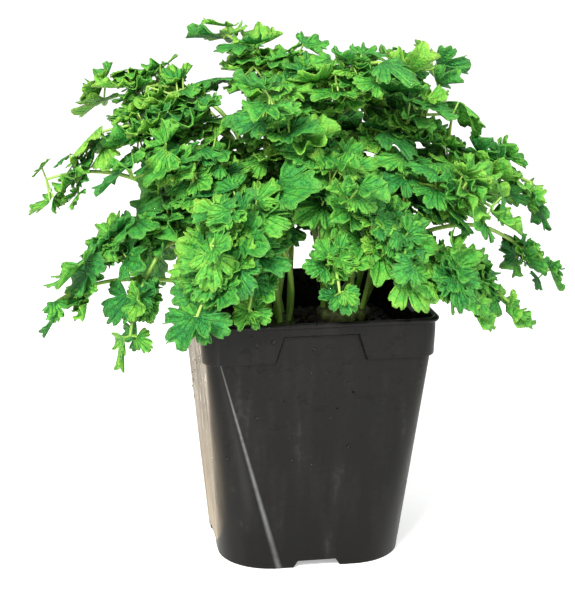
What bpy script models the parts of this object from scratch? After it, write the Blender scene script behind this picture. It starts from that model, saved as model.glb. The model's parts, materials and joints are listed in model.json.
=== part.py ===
"""Curly parsley in a square nursery pot.

One object for each piece: the pot, the potting soil, four root crowns, and for each leaf its stalk and its
blade. Metres, +Z up. The origin is on the ground under the middle of the pot, and the pot's front faces -Y.
"""

import math
import random

import bmesh
import bpy
from mathutils import Matrix, Vector
from mathutils.bvhtree import BVHTree
from mathutils.geometry import delaunay_2d_cdt

# ---------------------------------------------------------------- driving sizes, in metres and degrees
GAP = 0.0003  # left between pieces that touch

POT_HEIGHT = 0.110
LIP_HALF = 0.050  # half the width over the lip
LIP_WIDTH = 0.0022
LIP_DROP = 0.0022  # depth of the lip's outer edge
WALL = 0.0011
COLLAR_HEIGHT = 0.0168  # from the top edge down to the shoulder
COLLAR_TOP_HALF = 0.0488
COLLAR_FOOT_HALF = 0.0484
SHOULDER_STEP = 0.0016
SHOULDER_Z = POT_HEIGHT - COLLAR_HEIGHT
FOOT_HALF = 0.0392
FOOT_CORNER = 0.0230  # corner radius at the ground
TOP_CORNER = 0.0056  # corner radius under the collar
FLOOR_UNDERSIDE = 0.0036
CORNER_STEPS = 5

RECESS_TOP = 0.0062  # label recess in the collar, measured down from the top edge
RECESS_HALF_TOP = 0.0150
RECESS_HALF_FOOT = 0.0182
RECESS_BEVEL = 0.0009
NOTCH_HEIGHT = 0.0032  # drainage notch through the foot
NOTCH_HALF_TOP = 0.0081
NOTCH_HALF_FOOT = 0.0102
DRAIN_RADIUS = 0.0038
DRAIN_OFFSET = 0.0200

SOIL_EDGE = 0.0912  # height of the soil where it meets the wall
SOIL_MOUND = 0.0062  # how much higher the soil stands in the middle

CROWN_RADIUS = 0.0115
CROWN_HEIGHT = 0.0050
CROWN_LIFT = 0.0008  # keeps a crown's flat underside over the mounded soil
CROWNS = {"left": (-0.016, -0.010), "right": (0.020, 0.006)}

STALK_RADIUS = 0.0014
STALK_TIP_RADIUS = 0.0009
STALK_SIDES = 6
STALK_RINGS = 7
RIB_HALF = 0.0009  # half the width of a midrib or side rib
BLADE_THICKNESS = 0.0014
CLEARANCE = 0.0008  # how much thicker each leaf is taken to be while leaves are moved clear of one another

# Each leaf: its kind, its crown, the direction its blade points in, how far out from the pot's axis and how
# high the blade's middle is, the pitch and the roll of the blade's midrib, and the blade's length. The low
# and outer leaves come first, going round the pot, then the upper ones.
MM = 0.001
LEAVES = [
    ("small", "left", -166, 101 * MM, 121 * MM, 2, -8, 44 * MM),
    ("small", "left", 172, 99 * MM, 163 * MM, 12, 10, 46 * MM),
    ("full", "left", -171, 82 * MM, 137 * MM, -8, 14, 72 * MM),
    ("small", "left", -155, 82 * MM, 115 * MM, -50, 0, 54 * MM),
    ("full", "left", -130, 74 * MM, 131 * MM, -24, -6, 66 * MM),
    ("small", "left", -124, 65 * MM, 119 * MM, -40, 8, 42 * MM),
    ("small", "right", -85, 54 * MM, 132 * MM, -30, 0, 44 * MM),
    ("full", "right", -60, 58 * MM, 143 * MM, -22, 6, 62 * MM),
    ("full", "right", -38, 74 * MM, 128 * MM, -18, -8, 62 * MM),
    ("full", "right", -18, 82 * MM, 117 * MM, -22, 8, 68 * MM),
    ("small", "right", 6, 107 * MM, 120 * MM, -24, -10, 50 * MM),
    ("full", "left", -127, 64 * MM, 153 * MM, 4, 6, 72 * MM),
    ("full", "right", -78, 41 * MM, 163 * MM, 8, -6, 66 * MM),
    ("full", "right", -32, 66 * MM, 155 * MM, 2, 6, 70 * MM),
    ("full", "right", 4, 86 * MM, 154 * MM, 0, -8, 70 * MM),
    ("full", "right", 2, 52 * MM, 186 * MM, 26, 6, 66 * MM),
    ("full", "left", 173, 69 * MM, 184 * MM, 16, 8, 68 * MM),
    ("full", "left", -155, 62 * MM, 168 * MM, 14, -8, 68 * MM),
    ("full", "left", 155, 74 * MM, 199 * MM, 22, 0, 64 * MM),
    ("full", "left", 133, 27 * MM, 212 * MM, 56, 6, 66 * MM),
    ("full", "left", 90, 8 * MM, 204 * MM, 67, 0, 62 * MM),
    ("full", "right", 32, 56 * MM, 198 * MM, 34, 8, 68 * MM),
    ("full", "left", -118, 26 * MM, 194 * MM, 42, 0, 64 * MM),
    ("full", "right", -50, 38 * MM, 206 * MM, 40, -14, 58 * MM),
    ("full", "left", 138, 74 * MM, 130 * MM, -16, -8, 72 * MM),
    ("full", "left", 100, 55 * MM, 150 * MM, -2, 8, 66 * MM),
    ("full", "right", 66, 57 * MM, 138 * MM, -16, 6, 68 * MM),
    ("full", "right", 74, 46 * MM, 180 * MM, 30, -8, 68 * MM),
]
TRIES = 400
NUDGES = (12.0, 8 * MM, 8 * MM, 14.0, 24.0)  # the largest change to each of heading, out, up, pitch and roll
MOST_BOW = 0.12  # the most that a stalk is bowed to one side to clear others, as a share of its span

MIDDLE = 0.48  # where the blade's middle is, as a share of its length
DROOP = math.radians(46)  # how far the midrib bends over its length
CUP = math.radians(50)  # how far the blade bends over a width of its own length
# Leaflets on each side: where the rib leaves the midrib, its heading, the rib's and the leaflet's length.
# Then the tip leaflet: where it starts and its length. All lengths are shares of the blade's length.
KINDS = {
    "full": ([(0.12, 68, 0.15, 0.33), (0.44, 50, 0.08, 0.25)], (0.68, 0.32)),
    "small": ([(0.36, 62, 0.08, 0.36)], (0.66, 0.34)),
}
# Half of a leaflet's outline: angle from its own axis and distance from its base, as a share of its length.
LOBES = [(78, 0.30), (44, 0.66), (27, 0.56), (9, 0.98)]
LOBE_DROOP = 0.22  # how far a leaflet's far edge hangs below its base, as a share of its length


# ---------------------------------------------------------------- scene and materials
def clear_scene():
    for obj in list(bpy.data.objects):
        bpy.data.objects.remove(obj)


def material(name, colour, roughness, metallic=0.0):
    made = bpy.data.materials.new(name)
    made.use_nodes = True
    shader = made.node_tree.nodes["Principled BSDF"]
    shader.inputs["Base Color"].default_value = (*colour, 1.0)
    shader.inputs["Roughness"].default_value = roughness
    shader.inputs["Metallic"].default_value = metallic
    return made


def add_object(name, data, surface):
    obj = bpy.data.objects.new(name, data)
    bpy.context.scene.collection.objects.link(obj)
    if surface:
        data.materials.append(surface)
    return obj


def mesh_from(bm, name, smooth_below=math.radians(35)):
    bmesh.ops.recalc_face_normals(bm, faces=bm.faces)
    mesh = bpy.data.meshes.new(name)
    bm.to_mesh(mesh)
    bm.free()
    mesh.shade_smooth()
    mesh.set_sharp_from_angle(angle=smooth_below)
    return mesh


def helper(obj):
    """A cutter or a joining piece: it shapes its neighbour and isn't a piece itself."""
    obj.hide_render = True
    obj.display_type = "WIRE"
    return obj


def add_boolean(obj, other, operation):
    boolean = obj.modifiers.new(other.name, "BOOLEAN")
    boolean.object = other
    boolean.operation = operation
    boolean.solver = "EXACT"
    return boolean


# ---------------------------------------------------------------- rounded-square rings
def ring_points(half, corner, z, recess_half=0.0, recess_depth=0.0):
    """A rounded square seen from above, anticlockwise, with a dent recess_depth deep in each side."""
    points = []
    for quarter in range(4):
        turn = Matrix.Rotation(quarter * math.pi / 2, 3, "Z")
        inner = recess_half
        outer = recess_half + RECESS_BEVEL
        for x, depth in ((-outer, 0), (-inner, recess_depth), (inner, recess_depth), (outer, 0)):
            points.append(turn @ Vector((x, -half + depth, z)))
        for step in range(CORNER_STEPS + 1):
            angle = math.pi / 2 * (step / CORNER_STEPS - 1)
            centre = half - corner
            x = centre + corner * math.cos(angle)
            y = -centre + corner * math.sin(angle)
            points.append(turn @ Vector((x, y, z)))
    return points


def loft(bm, rings):
    """Skins the rings in turn and closes both ends. Returns the two end faces."""
    rows = [[bm.verts.new(point) for point in ring] for ring in rings]
    count = len(rows[0])
    for lower, upper in zip(rows, rows[1:]):
        for i in range(count):
            j = (i + 1) % count
            bm.faces.new((lower[i], lower[j], upper[j], upper[i]))
    first = bm.faces.new(rows[0][::-1])
    last = bm.faces.new(rows[-1])
    return first, last


def wall_at(z, inset=0.0):
    """Half width and corner radius of the tapered wall at a height, moved inwards by inset."""
    share = z / SHOULDER_Z
    half = FOOT_HALF + (COLLAR_FOOT_HALF - SHOULDER_STEP - FOOT_HALF) * share
    corner = FOOT_CORNER + (TOP_CORNER - FOOT_CORNER) * share
    return half - inset, max(corner - inset, 0.002)


def wall_ring(z, inset=0.0):
    half, corner = wall_at(z, inset)
    flat = half - corner
    return ring_points(half, corner, z, min(RECESS_HALF_FOOT, 0.8 * flat))


def collar_ring(z, half, recess_half, recess_depth, inset=0.0):
    corner = TOP_CORNER + SHOULDER_STEP - inset
    return ring_points(half - inset, corner, z, recess_half, recess_depth)


# ---------------------------------------------------------------- pot
def pot_rings():
    recess_z = POT_HEIGHT - RECESS_TOP
    lip_z = POT_HEIGHT - LIP_DROP
    step = SHOULDER_STEP
    narrow, wide = RECESS_HALF_TOP, RECESS_HALF_FOOT
    under_floor = wall_ring(FLOOR_UNDERSIDE, WALL)
    outside = [
        wall_ring(0.0),
        wall_ring(SHOULDER_Z),
        collar_ring(SHOULDER_Z + 0.0005, COLLAR_FOOT_HALF, wide, step),
        collar_ring(recess_z, COLLAR_TOP_HALF, narrow, step + 0.0003),
        collar_ring(recess_z + RECESS_BEVEL, COLLAR_TOP_HALF, narrow, 0),
        collar_ring(lip_z, COLLAR_TOP_HALF, narrow, 0),
        collar_ring(lip_z, LIP_HALF, narrow, 0),
        collar_ring(POT_HEIGHT, LIP_HALF, narrow, 0),
    ]
    inside = [
        collar_ring(POT_HEIGHT, LIP_HALF - LIP_WIDTH, narrow, 0),
        collar_ring(recess_z + RECESS_BEVEL, COLLAR_TOP_HALF, narrow, 0, WALL),
        collar_ring(recess_z, COLLAR_TOP_HALF, narrow, step + 0.0003, WALL),
        collar_ring(SHOULDER_Z + 0.0005, COLLAR_FOOT_HALF, wide, step, WALL),
        wall_ring(SHOULDER_Z, WALL),
        wall_ring(FLOOR_UNDERSIDE + WALL, WALL),
    ]
    return [under_floor, wall_ring(0.0, WALL), *outside, *inside]


def notch_cutter(name, turned):
    """A bar with sloping sides that runs under the floor and out through both foot walls."""
    bm = bmesh.new()
    reach = LIP_HALF + 0.01
    below = 0.002
    slope = (NOTCH_HALF_FOOT - NOTCH_HALF_TOP) / NOTCH_HEIGHT
    profile = [
        (-NOTCH_HALF_FOOT - below * slope, -below),
        (NOTCH_HALF_FOOT + below * slope, -below),
        (NOTCH_HALF_TOP, NOTCH_HEIGHT),
        (-NOTCH_HALF_TOP, NOTCH_HEIGHT),
    ]
    loft(bm, [[Vector((x, y, z)) for x, z in profile] for y in (-reach, reach)])
    if turned:
        bmesh.ops.rotate(bm, verts=bm.verts, matrix=Matrix.Rotation(math.pi / 2, 3, "Z"))
    return helper(add_object(name, mesh_from(bm, name), None))


def drain_cutter():
    bm = bmesh.new()
    places = [(0.0, 0.0)]
    places += [(x * DRAIN_OFFSET, y * DRAIN_OFFSET) for x in (-1, 1) for y in (-1, 1)]
    for x, y in places:
        bmesh.ops.create_cone(
            bm,
            cap_ends=True,
            segments=12,
            radius1=DRAIN_RADIUS,
            radius2=DRAIN_RADIUS,
            depth=4 * WALL,
            matrix=Matrix.Translation((x, y, FLOOR_UNDERSIDE + WALL / 2)),
        )
    return helper(add_object("drain_cutter", mesh_from(bm, "drain_cutter"), None))


def build_pot(plastic):
    bm = bmesh.new()
    loft(bm, pot_rings())
    pot = add_object("pot", mesh_from(bm, "pot"), plastic)
    add_boolean(pot, notch_cutter("notch_cutter_y", False), "DIFFERENCE")
    add_boolean(pot, notch_cutter("notch_cutter_x", True), "DIFFERENCE")
    add_boolean(pot, drain_cutter(), "DIFFERENCE")
    return pot


# ---------------------------------------------------------------- soil and crowns
def soil_height(x, y):
    """The top of the soil: a low mound with a few soft hollows."""
    edge = max(abs(x), abs(y)) / (COLLAR_FOOT_HALF - SHOULDER_STEP - WALL)
    mound = SOIL_MOUND * max(0.0, 1 - edge**2)
    return SOIL_EDGE + mound


def build_soil(peat):
    bm = bmesh.new()
    rings = [wall_ring(FLOOR_UNDERSIDE + WALL + GAP, WALL + GAP), wall_ring(SOIL_EDGE, WALL + GAP)]
    half, corner = wall_at(SOIL_EDGE, WALL + GAP)
    for share in (0.85, 0.60, 0.30):
        flat = ring_points(half * share, corner * share, 0.0, RECESS_HALF_FOOT * share)
        rings.append([Vector((p.x, p.y, soil_height(p.x, p.y))) for p in flat])
    loft(bm, rings)
    return add_object("soil", mesh_from(bm, "soil"), peat)


def crown_top(name):
    """The middle of a crown's flat top."""
    x, y = CROWNS[name]
    return Vector((x, y, soil_height(x, y) + GAP + CROWN_LIFT + CROWN_HEIGHT))


def build_crown(name, rind):
    """The low swelling that a plant's stalks spring from."""
    bm = bmesh.new()
    top = crown_top(name)
    profile = [(0.88, -1.0), (1.02, -0.6), (1.0, -0.25), (0.92, 0.0)]
    rings = []
    for share, height in profile:
        angles = [math.tau * i / 16 for i in range(16)]
        offsets = [Vector((math.cos(a), math.sin(a), 0)) * CROWN_RADIUS * share for a in angles]
        rings.append([top + offset + Vector((0, 0, CROWN_HEIGHT * height)) for offset in offsets])
    loft(bm, rings)
    return add_object("crown_" + name, mesh_from(bm, name), rind)


# ---------------------------------------------------------------- leaf skeleton
def heading_vector(heading, pitch):
    h, p = math.radians(heading), math.radians(pitch)
    return Vector((math.cos(p) * math.cos(h), math.cos(p) * math.sin(h), math.sin(p)))


def arc(bend, distance, axis):
    """A move of distance along a curve that bends by bend per metre: along X bending down, or along Y."""
    angle = bend * distance
    along = math.sin(angle) / bend
    down = -(1 - math.cos(angle)) / bend
    if axis == "X":
        return Matrix.Translation((along, 0, down)) @ Matrix.Rotation(angle, 4, "Y")
    return Matrix.Translation((0, along, down)) @ Matrix.Rotation(-angle, 4, "X")


def on_blade(frame, length, along, across):
    """The frame on the bent blade at a place given as shares of its length: X forward, Z out of its top."""
    forward = arc(DROOP / length, along * length, "X")
    sideways = arc(CUP / length, across * length, "Y")
    return frame @ forward @ sideways


def blade_frame(leaf):
    """The frame at the base of a leaf's blade: X along its midrib, Z out of its upper side."""
    _, _, heading, out, up, pitch, roll, length = leaf
    forward = heading_vector(heading, pitch)
    upward = heading_vector(heading, pitch + 90)
    side = upward.cross(forward)
    frame = Matrix((forward, side, upward)).transposed().to_4x4()
    frame = frame @ Matrix.Rotation(math.radians(roll), 4, "X")
    middle = arc(DROOP / length, MIDDLE * length, "X").translation
    target = Vector((out * math.cos(math.radians(heading)), out * math.sin(math.radians(heading)), up))
    frame.translation = target - frame.to_3x3() @ middle
    return frame


def stalk_starts():
    """Where each stalk leaves its crown: the far-reaching ones from an outer ring, the others from an inner."""
    starts = {}
    for crown in CROWNS:
        top = crown_top(crown)
        mine = [i for i, leaf in enumerate(LEAVES) if leaf[1] == crown]
        reach = {}
        for i in mine:
            offset = blade_frame(LEAVES[i]).translation - top
            reach[i] = (math.hypot(offset.x, offset.y), math.atan2(offset.y, offset.x))
        mine.sort(key=lambda i: -reach[i][0])
        outer_count = round(len(mine) * 0.64)
        for ring, radius in ((mine[:outer_count], 0.80), (mine[outer_count:], 0.38)):
            ring.sort(key=lambda i: reach[i][1])
            first = sum(reach[i][1] - math.tau * n / len(ring) for n, i in enumerate(ring)) / len(ring)
            for n, i in enumerate(ring):
                angle = first + math.tau * n / len(ring)
                away = Vector((math.cos(angle), math.sin(angle), 0))
                starts[i] = top + away * CROWN_RADIUS * radius + Vector((0, 0, GAP))
    return starts


def stalk_points(start, frame, bow):
    """The stalk's middle line: straight up out of the crown, then over into the line of the midrib."""
    end = frame.translation - frame.to_3x3() @ Vector((GAP, 0, 0))
    span = (end - start).length
    away = Vector((end.x - start.x, end.y - start.y, 0))
    sideways = Vector((-away.y, away.x, 0)).normalized() * span * bow
    rise = start + Vector((0, 0, span * 0.30)) + away * 0.12 + sideways
    fall = end - frame.col[0].to_3d() * span * 0.30 + sideways
    points = []
    for step in range(STALK_RINGS):
        t = step / (STALK_RINGS - 1)
        s = 1 - t
        points.append(start * s**3 + rise * (3 * s * s * t) + fall * (3 * s * t * t) + end * t**3)
    return points


def tube_rings(points, end_axis, extra):
    """Rings round a line of points, square to it: the first one is level and the last faces along end_axis."""
    axes = [Vector((0, 0, 1))]
    axes += [(after - before).normalized() for before, after in zip(points, points[2:])]
    axes += [end_axis]
    rings = []
    for i, (point, axis) in enumerate(zip(points, axes)):
        side = axis.cross(Vector((0.3, 0.9, 0.1))).normalized()
        other = axis.cross(side)
        share = i / (len(points) - 1)
        radius = STALK_RADIUS + (STALK_TIP_RADIUS - STALK_RADIUS) * share + extra
        ring = []
        for n in range(STALK_SIDES):
            a = math.tau * n / STALK_SIDES
            ring.append(point + side * radius * math.cos(a) + other * radius * math.sin(a))
        rings.append(ring)
    return rings


# ---------------------------------------------------------------- leaf solids
def leaflet(along, heading, rib, size, rib_half):
    """A leaflet's outline on its rib, from the rear edge of the rib round to its front edge."""
    turn = math.radians(heading)
    forward = Vector((math.cos(turn), math.sin(turn)))
    left = Vector((-forward.y, forward.x))
    root = Vector((along, 0))
    if heading:
        root.y = math.copysign(rib_half, heading)
    start = root + forward * rib
    points = []
    for angle, distance in [(-angle, distance) for angle, distance in LOBES] + LOBES[::-1]:
        a = math.radians(angle)
        place = start + (forward * math.cos(a) + left * math.sin(a)) * distance * size
        points.append((place.x, place.y, -LOBE_DROOP * size * distance**2))
    if not rib:
        return [(root.x, -rib_half, 0.0), *points, (root.x, rib_half, 0.0)]
    wide = rib_half * left
    rear, front = root - wide, root + wide
    rear_end, front_end = start - wide, start + wide
    return [
        (rear.x, root.y, 0.0),
        (rear_end.x, rear_end.y, 0.0),
        *points,
        (front_end.x, front_end.y, 0.0),
        (front.x, root.y, 0.0),
    ]


def blade_outline(kind, rib_half):
    """The blade's outline laid flat, anticlockwise, as (along, across, height) in shares of its length."""
    pairs, (tip, tip_size) = KINDS[kind]
    right = [(0.0, -rib_half, 0.0)]
    for along, heading, rib, size in pairs:
        right += leaflet(along, -heading, rib, size, rib_half)
    across = [(x, -y, z) for x, y, z in reversed(right)]
    return right + leaflet(tip, 0, 0, tip_size, rib_half) + across


def blade_mesh(leaf, frame, extra=0.0):
    """The blade as a bent plate: (points, faces)."""
    kind, length = leaf[0], leaf[-1]
    outline = blade_outline(kind, (RIB_HALF + extra / 2) / length)
    half = (BLADE_THICKNESS + extra) / 2
    upper, lower = [], []
    for along, across, height in outline:
        place = on_blade(frame, length, along, across)
        upper.append(place @ Vector((0, 0, height * length + half)))
        lower.append(place @ Vector((0, 0, height * length - half)))
    count = len(outline)
    flat = [Vector((x, y)) for x, y, _ in outline]
    triangles = delaunay_2d_cdt(flat, [], [list(range(count))], 1, 1e-6)[2]
    faces = [tuple(t) for t in triangles]
    faces += [tuple(i + count for i in t[::-1]) for t in triangles]
    for i in range(count):
        j = (i + 1) % count
        faces += [(j, i, i + count), (j, i + count, j + count)]
    return upper + lower, faces


def stalk_mesh(start, frame, bow, extra=0.0):
    """The stalk as a tapering tube: (points, faces)."""
    rings = tube_rings(stalk_points(start, frame, bow), frame.col[0].to_3d(), extra)
    points = [point for ring in rings for point in ring]
    sides = STALK_SIDES
    faces = [tuple(range(sides))[::-1], tuple(range(len(points) - sides, len(points)))]
    for row in range(len(rings) - 1):
        for i in range(sides):
            j = (i + 1) % sides
            a, b = row * sides + i, row * sides + j
            faces.append((a, b, b + sides, a + sides))
    return points, faces


def pot_tree():
    """The outside of the pot as a plain tapered block, for keeping leaves clear of it."""
    half, top = LIP_HALF + CLEARANCE, POT_HEIGHT + CLEARANCE
    foot = FOOT_HALF + CLEARANCE
    square = ((-1, -1), (1, -1), (1, 1), (-1, 1))
    rim = POT_HEIGHT - COLLAR_HEIGHT
    rows = [[Vector((x * foot, y * foot, 0)) for x, y in square]]
    rows += [[Vector((x * half, y * half, z)) for x, y in square] for z in (rim, top)]
    points = [point for row in rows for point in row]
    faces = [(r + i, r + (i + 1) % 4, r + (i + 1) % 4 + 4, r + i + 4) for r in (0, 4) for i in range(4)]
    return BVHTree.FromPolygons(points, faces)


def leaf_layout():
    """Every leaf as (leaf, start, frame, bow), each moved a little if need be until it's clear of the others."""
    chance = random.Random(3)
    starts = stalk_starts()
    blades, stalks = [], []
    pot = pot_tree()
    layout = []
    for index, leaf in enumerate(LEAVES):
        start = starts[index]
        best = None
        for attempt in range(TRIES):
            share = min(1.0, attempt / 60)
            moves = [chance.uniform(-1, 1) * share * most for most in NUDGES]
            bow = chance.uniform(-1, 1) * share * MOST_BOW
            kind, crown, *placing, length = leaf
            tried = (kind, crown, *[value + move for value, move in zip(placing, moves)], length)
            frame = blade_frame(tried)
            blade = BVHTree.FromPolygons(*blade_mesh(tried, frame, CLEARANCE))
            stalk = BVHTree.FromPolygons(*stalk_mesh(start, frame, bow, CLEARANCE / 2))
            others = blades + stalks + [pot]
            clashes = sum(1 for other in others if blade.overlap(other))
            clashes += sum(1 for other in blades + stalks + [pot] if stalk.overlap(other))
            if best is None or clashes < best[0]:
                best = (clashes, tried, frame, bow, blade, stalk)
            if clashes == 0:
                break
        clashes, tried, frame, bow, blade, stalk = best
        if clashes:
            print("leaf", index + 1, "still clashes", clashes)
        blades.append(blade)
        stalks.append(stalk)
        layout.append((tried, start, frame, bow))
    return layout


def solid(name, points, faces, surface):
    bm = bmesh.new()
    verts = [bm.verts.new(point) for point in points]
    for face in faces:
        bm.faces.new([verts[i] for i in face])
    return add_object(name, mesh_from(bm, name), surface)


def main():
    clear_scene()
    plastic = material("black_plastic", (0.030, 0.029, 0.028), 0.42)
    peat = material("peat", (0.035, 0.022, 0.014), 0.95)
    rind = material("crown_rind", (0.30, 0.38, 0.12), 0.6)
    stalk_green = material("stalk_green", (0.26, 0.45, 0.07), 0.45)
    leaf_green = material("leaf_green", (0.08, 0.34, 0.05), 0.5)
    build_pot(plastic)
    build_soil(peat)
    for name in CROWNS:
        build_crown(name, rind)
    for number, (leaf, start, frame, bow) in enumerate(leaf_layout(), 1):
        solid(f"stalk_{number:02d}", *stalk_mesh(start, frame, bow), stalk_green)
        solid(f"leaf_{number:02d}", *blade_mesh(leaf, frame), leaf_green)


main()
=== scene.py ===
# %% [markdown]
# # Curly parsley in a nursery pot
#
# The plant grows in damp soil in a square pot of thin black plastic. Each leaf is a long stalk that divides
# into ribs, and every rib carries small curled leaflets. The frame gives the places of all the solid parts.
# This lesson repeats their layout rules in metres and builds each visible piece with finer detail on top.

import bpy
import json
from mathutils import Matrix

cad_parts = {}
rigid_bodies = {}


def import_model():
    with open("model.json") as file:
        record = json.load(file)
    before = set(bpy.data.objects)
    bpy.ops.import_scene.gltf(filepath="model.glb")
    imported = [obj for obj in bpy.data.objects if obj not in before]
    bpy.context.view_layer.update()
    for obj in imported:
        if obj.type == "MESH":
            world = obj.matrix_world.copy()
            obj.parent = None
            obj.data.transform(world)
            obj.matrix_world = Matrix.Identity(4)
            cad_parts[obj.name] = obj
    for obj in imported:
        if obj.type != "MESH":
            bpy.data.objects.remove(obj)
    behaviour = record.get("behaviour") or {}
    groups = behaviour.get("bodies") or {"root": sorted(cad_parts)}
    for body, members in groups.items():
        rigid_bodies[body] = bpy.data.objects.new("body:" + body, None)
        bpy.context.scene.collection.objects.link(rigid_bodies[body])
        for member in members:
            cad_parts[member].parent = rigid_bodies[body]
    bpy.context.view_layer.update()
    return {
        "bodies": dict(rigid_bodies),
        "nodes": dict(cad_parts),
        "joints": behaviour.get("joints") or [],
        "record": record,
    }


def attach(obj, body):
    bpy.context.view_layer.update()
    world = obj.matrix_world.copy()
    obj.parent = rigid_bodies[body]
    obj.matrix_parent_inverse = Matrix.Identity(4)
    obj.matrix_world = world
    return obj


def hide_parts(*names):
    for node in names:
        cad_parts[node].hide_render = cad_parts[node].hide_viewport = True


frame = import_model()
print("nodes in the frame:", len(frame["nodes"]))

# %% Modules used below
import json
import math
import random

import bmesh
import bpy
from mathutils import Matrix, Vector
from mathutils.bvhtree import BVHTree
from mathutils.geometry import delaunay_2d_cdt

MM = 0.001

# %% [markdown]
# ## Sizes of the pot, the soil and the crowns
#
# These are the same driving sizes as the solid parts use, in metres. Only the number of steps round each
# corner is larger, so that the pot's outline is smooth.

# %% Sizes of the pot and the soil
GAP = 0.0003  # left between pieces that touch

POT_HEIGHT = 0.110
LIP_HALF = 0.050  # half the width over the lip
WALL = 0.0011
COLLAR_HEIGHT = 0.0168  # from the top edge down to the shoulder
COLLAR_TOP_HALF = 0.0488
COLLAR_FOOT_HALF = 0.0484
SHOULDER_STEP = 0.0016
SHOULDER_Z = POT_HEIGHT - COLLAR_HEIGHT
FOOT_HALF = 0.0392
FOOT_CORNER = 0.0230  # corner radius at the ground
TOP_CORNER = 0.0056  # corner radius under the collar
FLOOR_UNDERSIDE = 0.0036
CORNER_STEPS = 16

RECESS_TOP = 0.0062  # label recess in the collar, measured down from the top edge
RECESS_HALF_TOP = 0.0150
RECESS_HALF_FOOT = 0.0182
RECESS_BEVEL = 0.0009
NOTCH_HEIGHT = 0.0032  # drainage notch through the foot
NOTCH_HALF_TOP = 0.0081
NOTCH_HALF_FOOT = 0.0102
DRAIN_RADIUS = 0.0038
DRAIN_OFFSET = 0.0200

SOIL_EDGE = 0.0912  # height of the soil where it meets the wall
SOIL_MOUND = 0.0062  # how much higher the soil stands in the middle

CROWN_RADIUS = 0.0115
CROWN_HEIGHT = 0.0050
CROWN_LIFT = 0.0008  # keeps a crown's flat underside over the mounded soil
CROWNS = {"left": (-0.016, -0.010), "right": (0.020, 0.006)}
print("pot:", 2 * LIP_HALF, "m wide and", POT_HEIGHT, "m tall")

# %% [markdown]
# ## Which leaves there are
#
# The leaves are given as a short list: where each blade's middle is, which way it points and how long it is.
# A blade that would cut into another is moved a little until it is clear, in the same way and in the same
# order as in the solid parts, so that every visible leaf lands on its own node.

# %% The list of leaves
STALK_RADIUS = 0.0014
STALK_TIP_RADIUS = 0.0009
STALK_SIDES = 6
STALK_RINGS = 7
STALK_RISE = 0.30  # how straight a stalk starts and ends, as a share of its span
STALK_LEAN = 0.12  # how much of the way outwards is covered while it rises
OUTER_SHARE = 0.64  # the share of a crown's stalks that leave it from the outer ring
OUTER_RING, INNER_RING = 0.80, 0.38  # the rings' radii, as shares of the crown's
RIB_HALF = 0.0009  # half the width of a midrib or side rib
BLADE_THICKNESS = 0.0014
CLEARANCE = 0.0008  # how much thicker each leaf is taken to be while leaves are moved clear of one another

# Each leaf: its kind, its crown, the direction its blade points in, how far out from the pot's axis and how
# high the blade's middle is, the pitch and the roll of the blade's midrib, and the blade's length. The low
# and outer leaves come first, going round the pot, then the upper ones, and last four at the back.
LEAVES = [
    ("small", "left", -166, 101 * MM, 121 * MM, 2, -8, 44 * MM),
    ("small", "left", 172, 99 * MM, 163 * MM, 12, 10, 46 * MM),
    ("full", "left", -171, 82 * MM, 137 * MM, -8, 14, 72 * MM),
    ("small", "left", -155, 82 * MM, 115 * MM, -50, 0, 54 * MM),
    ("full", "left", -130, 74 * MM, 131 * MM, -24, -6, 66 * MM),
    ("small", "left", -124, 65 * MM, 119 * MM, -40, 8, 42 * MM),
    ("small", "right", -85, 54 * MM, 132 * MM, -30, 0, 44 * MM),
    ("full", "right", -60, 58 * MM, 143 * MM, -22, 6, 62 * MM),
    ("full", "right", -38, 74 * MM, 128 * MM, -18, -8, 62 * MM),
    ("full", "right", -18, 82 * MM, 117 * MM, -22, 8, 68 * MM),
    ("small", "right", 6, 107 * MM, 120 * MM, -24, -10, 50 * MM),
    ("full", "left", -127, 64 * MM, 153 * MM, 4, 6, 72 * MM),
    ("full", "right", -78, 41 * MM, 163 * MM, 8, -6, 66 * MM),
    ("full", "right", -32, 66 * MM, 155 * MM, 2, 6, 70 * MM),
    ("full", "right", 4, 86 * MM, 154 * MM, 0, -8, 70 * MM),
    ("full", "right", 2, 52 * MM, 186 * MM, 26, 6, 66 * MM),
    ("full", "left", 173, 69 * MM, 184 * MM, 16, 8, 68 * MM),
    ("full", "left", -155, 62 * MM, 168 * MM, 14, -8, 68 * MM),
    ("full", "left", 155, 74 * MM, 199 * MM, 22, 0, 64 * MM),
    ("full", "left", 133, 27 * MM, 212 * MM, 56, 6, 66 * MM),
    ("full", "left", 90, 8 * MM, 204 * MM, 67, 0, 62 * MM),
    ("full", "right", 32, 56 * MM, 198 * MM, 34, 8, 68 * MM),
    ("full", "left", -118, 26 * MM, 194 * MM, 42, 0, 64 * MM),
    ("full", "right", -50, 38 * MM, 206 * MM, 40, -14, 58 * MM),
    ("full", "left", 138, 74 * MM, 130 * MM, -16, -8, 72 * MM),
    ("full", "left", 100, 55 * MM, 150 * MM, -2, 8, 66 * MM),
    ("full", "right", 66, 57 * MM, 138 * MM, -16, 6, 68 * MM),
    ("full", "right", 74, 46 * MM, 180 * MM, 30, -8, 68 * MM),
]
TRIES = 400
TRIES_TO_FULL = 60  # the try from which a blade may move by the whole of each nudge
NUDGES = (12.0, 8 * MM, 8 * MM, 14.0, 24.0)  # the largest change to each of heading, out, up, pitch and roll
MOST_BOW = 0.12  # the most that a stalk is bowed to one side to clear others, as a share of its span

MIDDLE = 0.48  # where the blade's middle is, as a share of its length
DROOP = math.radians(46)  # how far the midrib bends over its length
CUP = math.radians(50)  # how far the blade bends over a width of its own length
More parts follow.
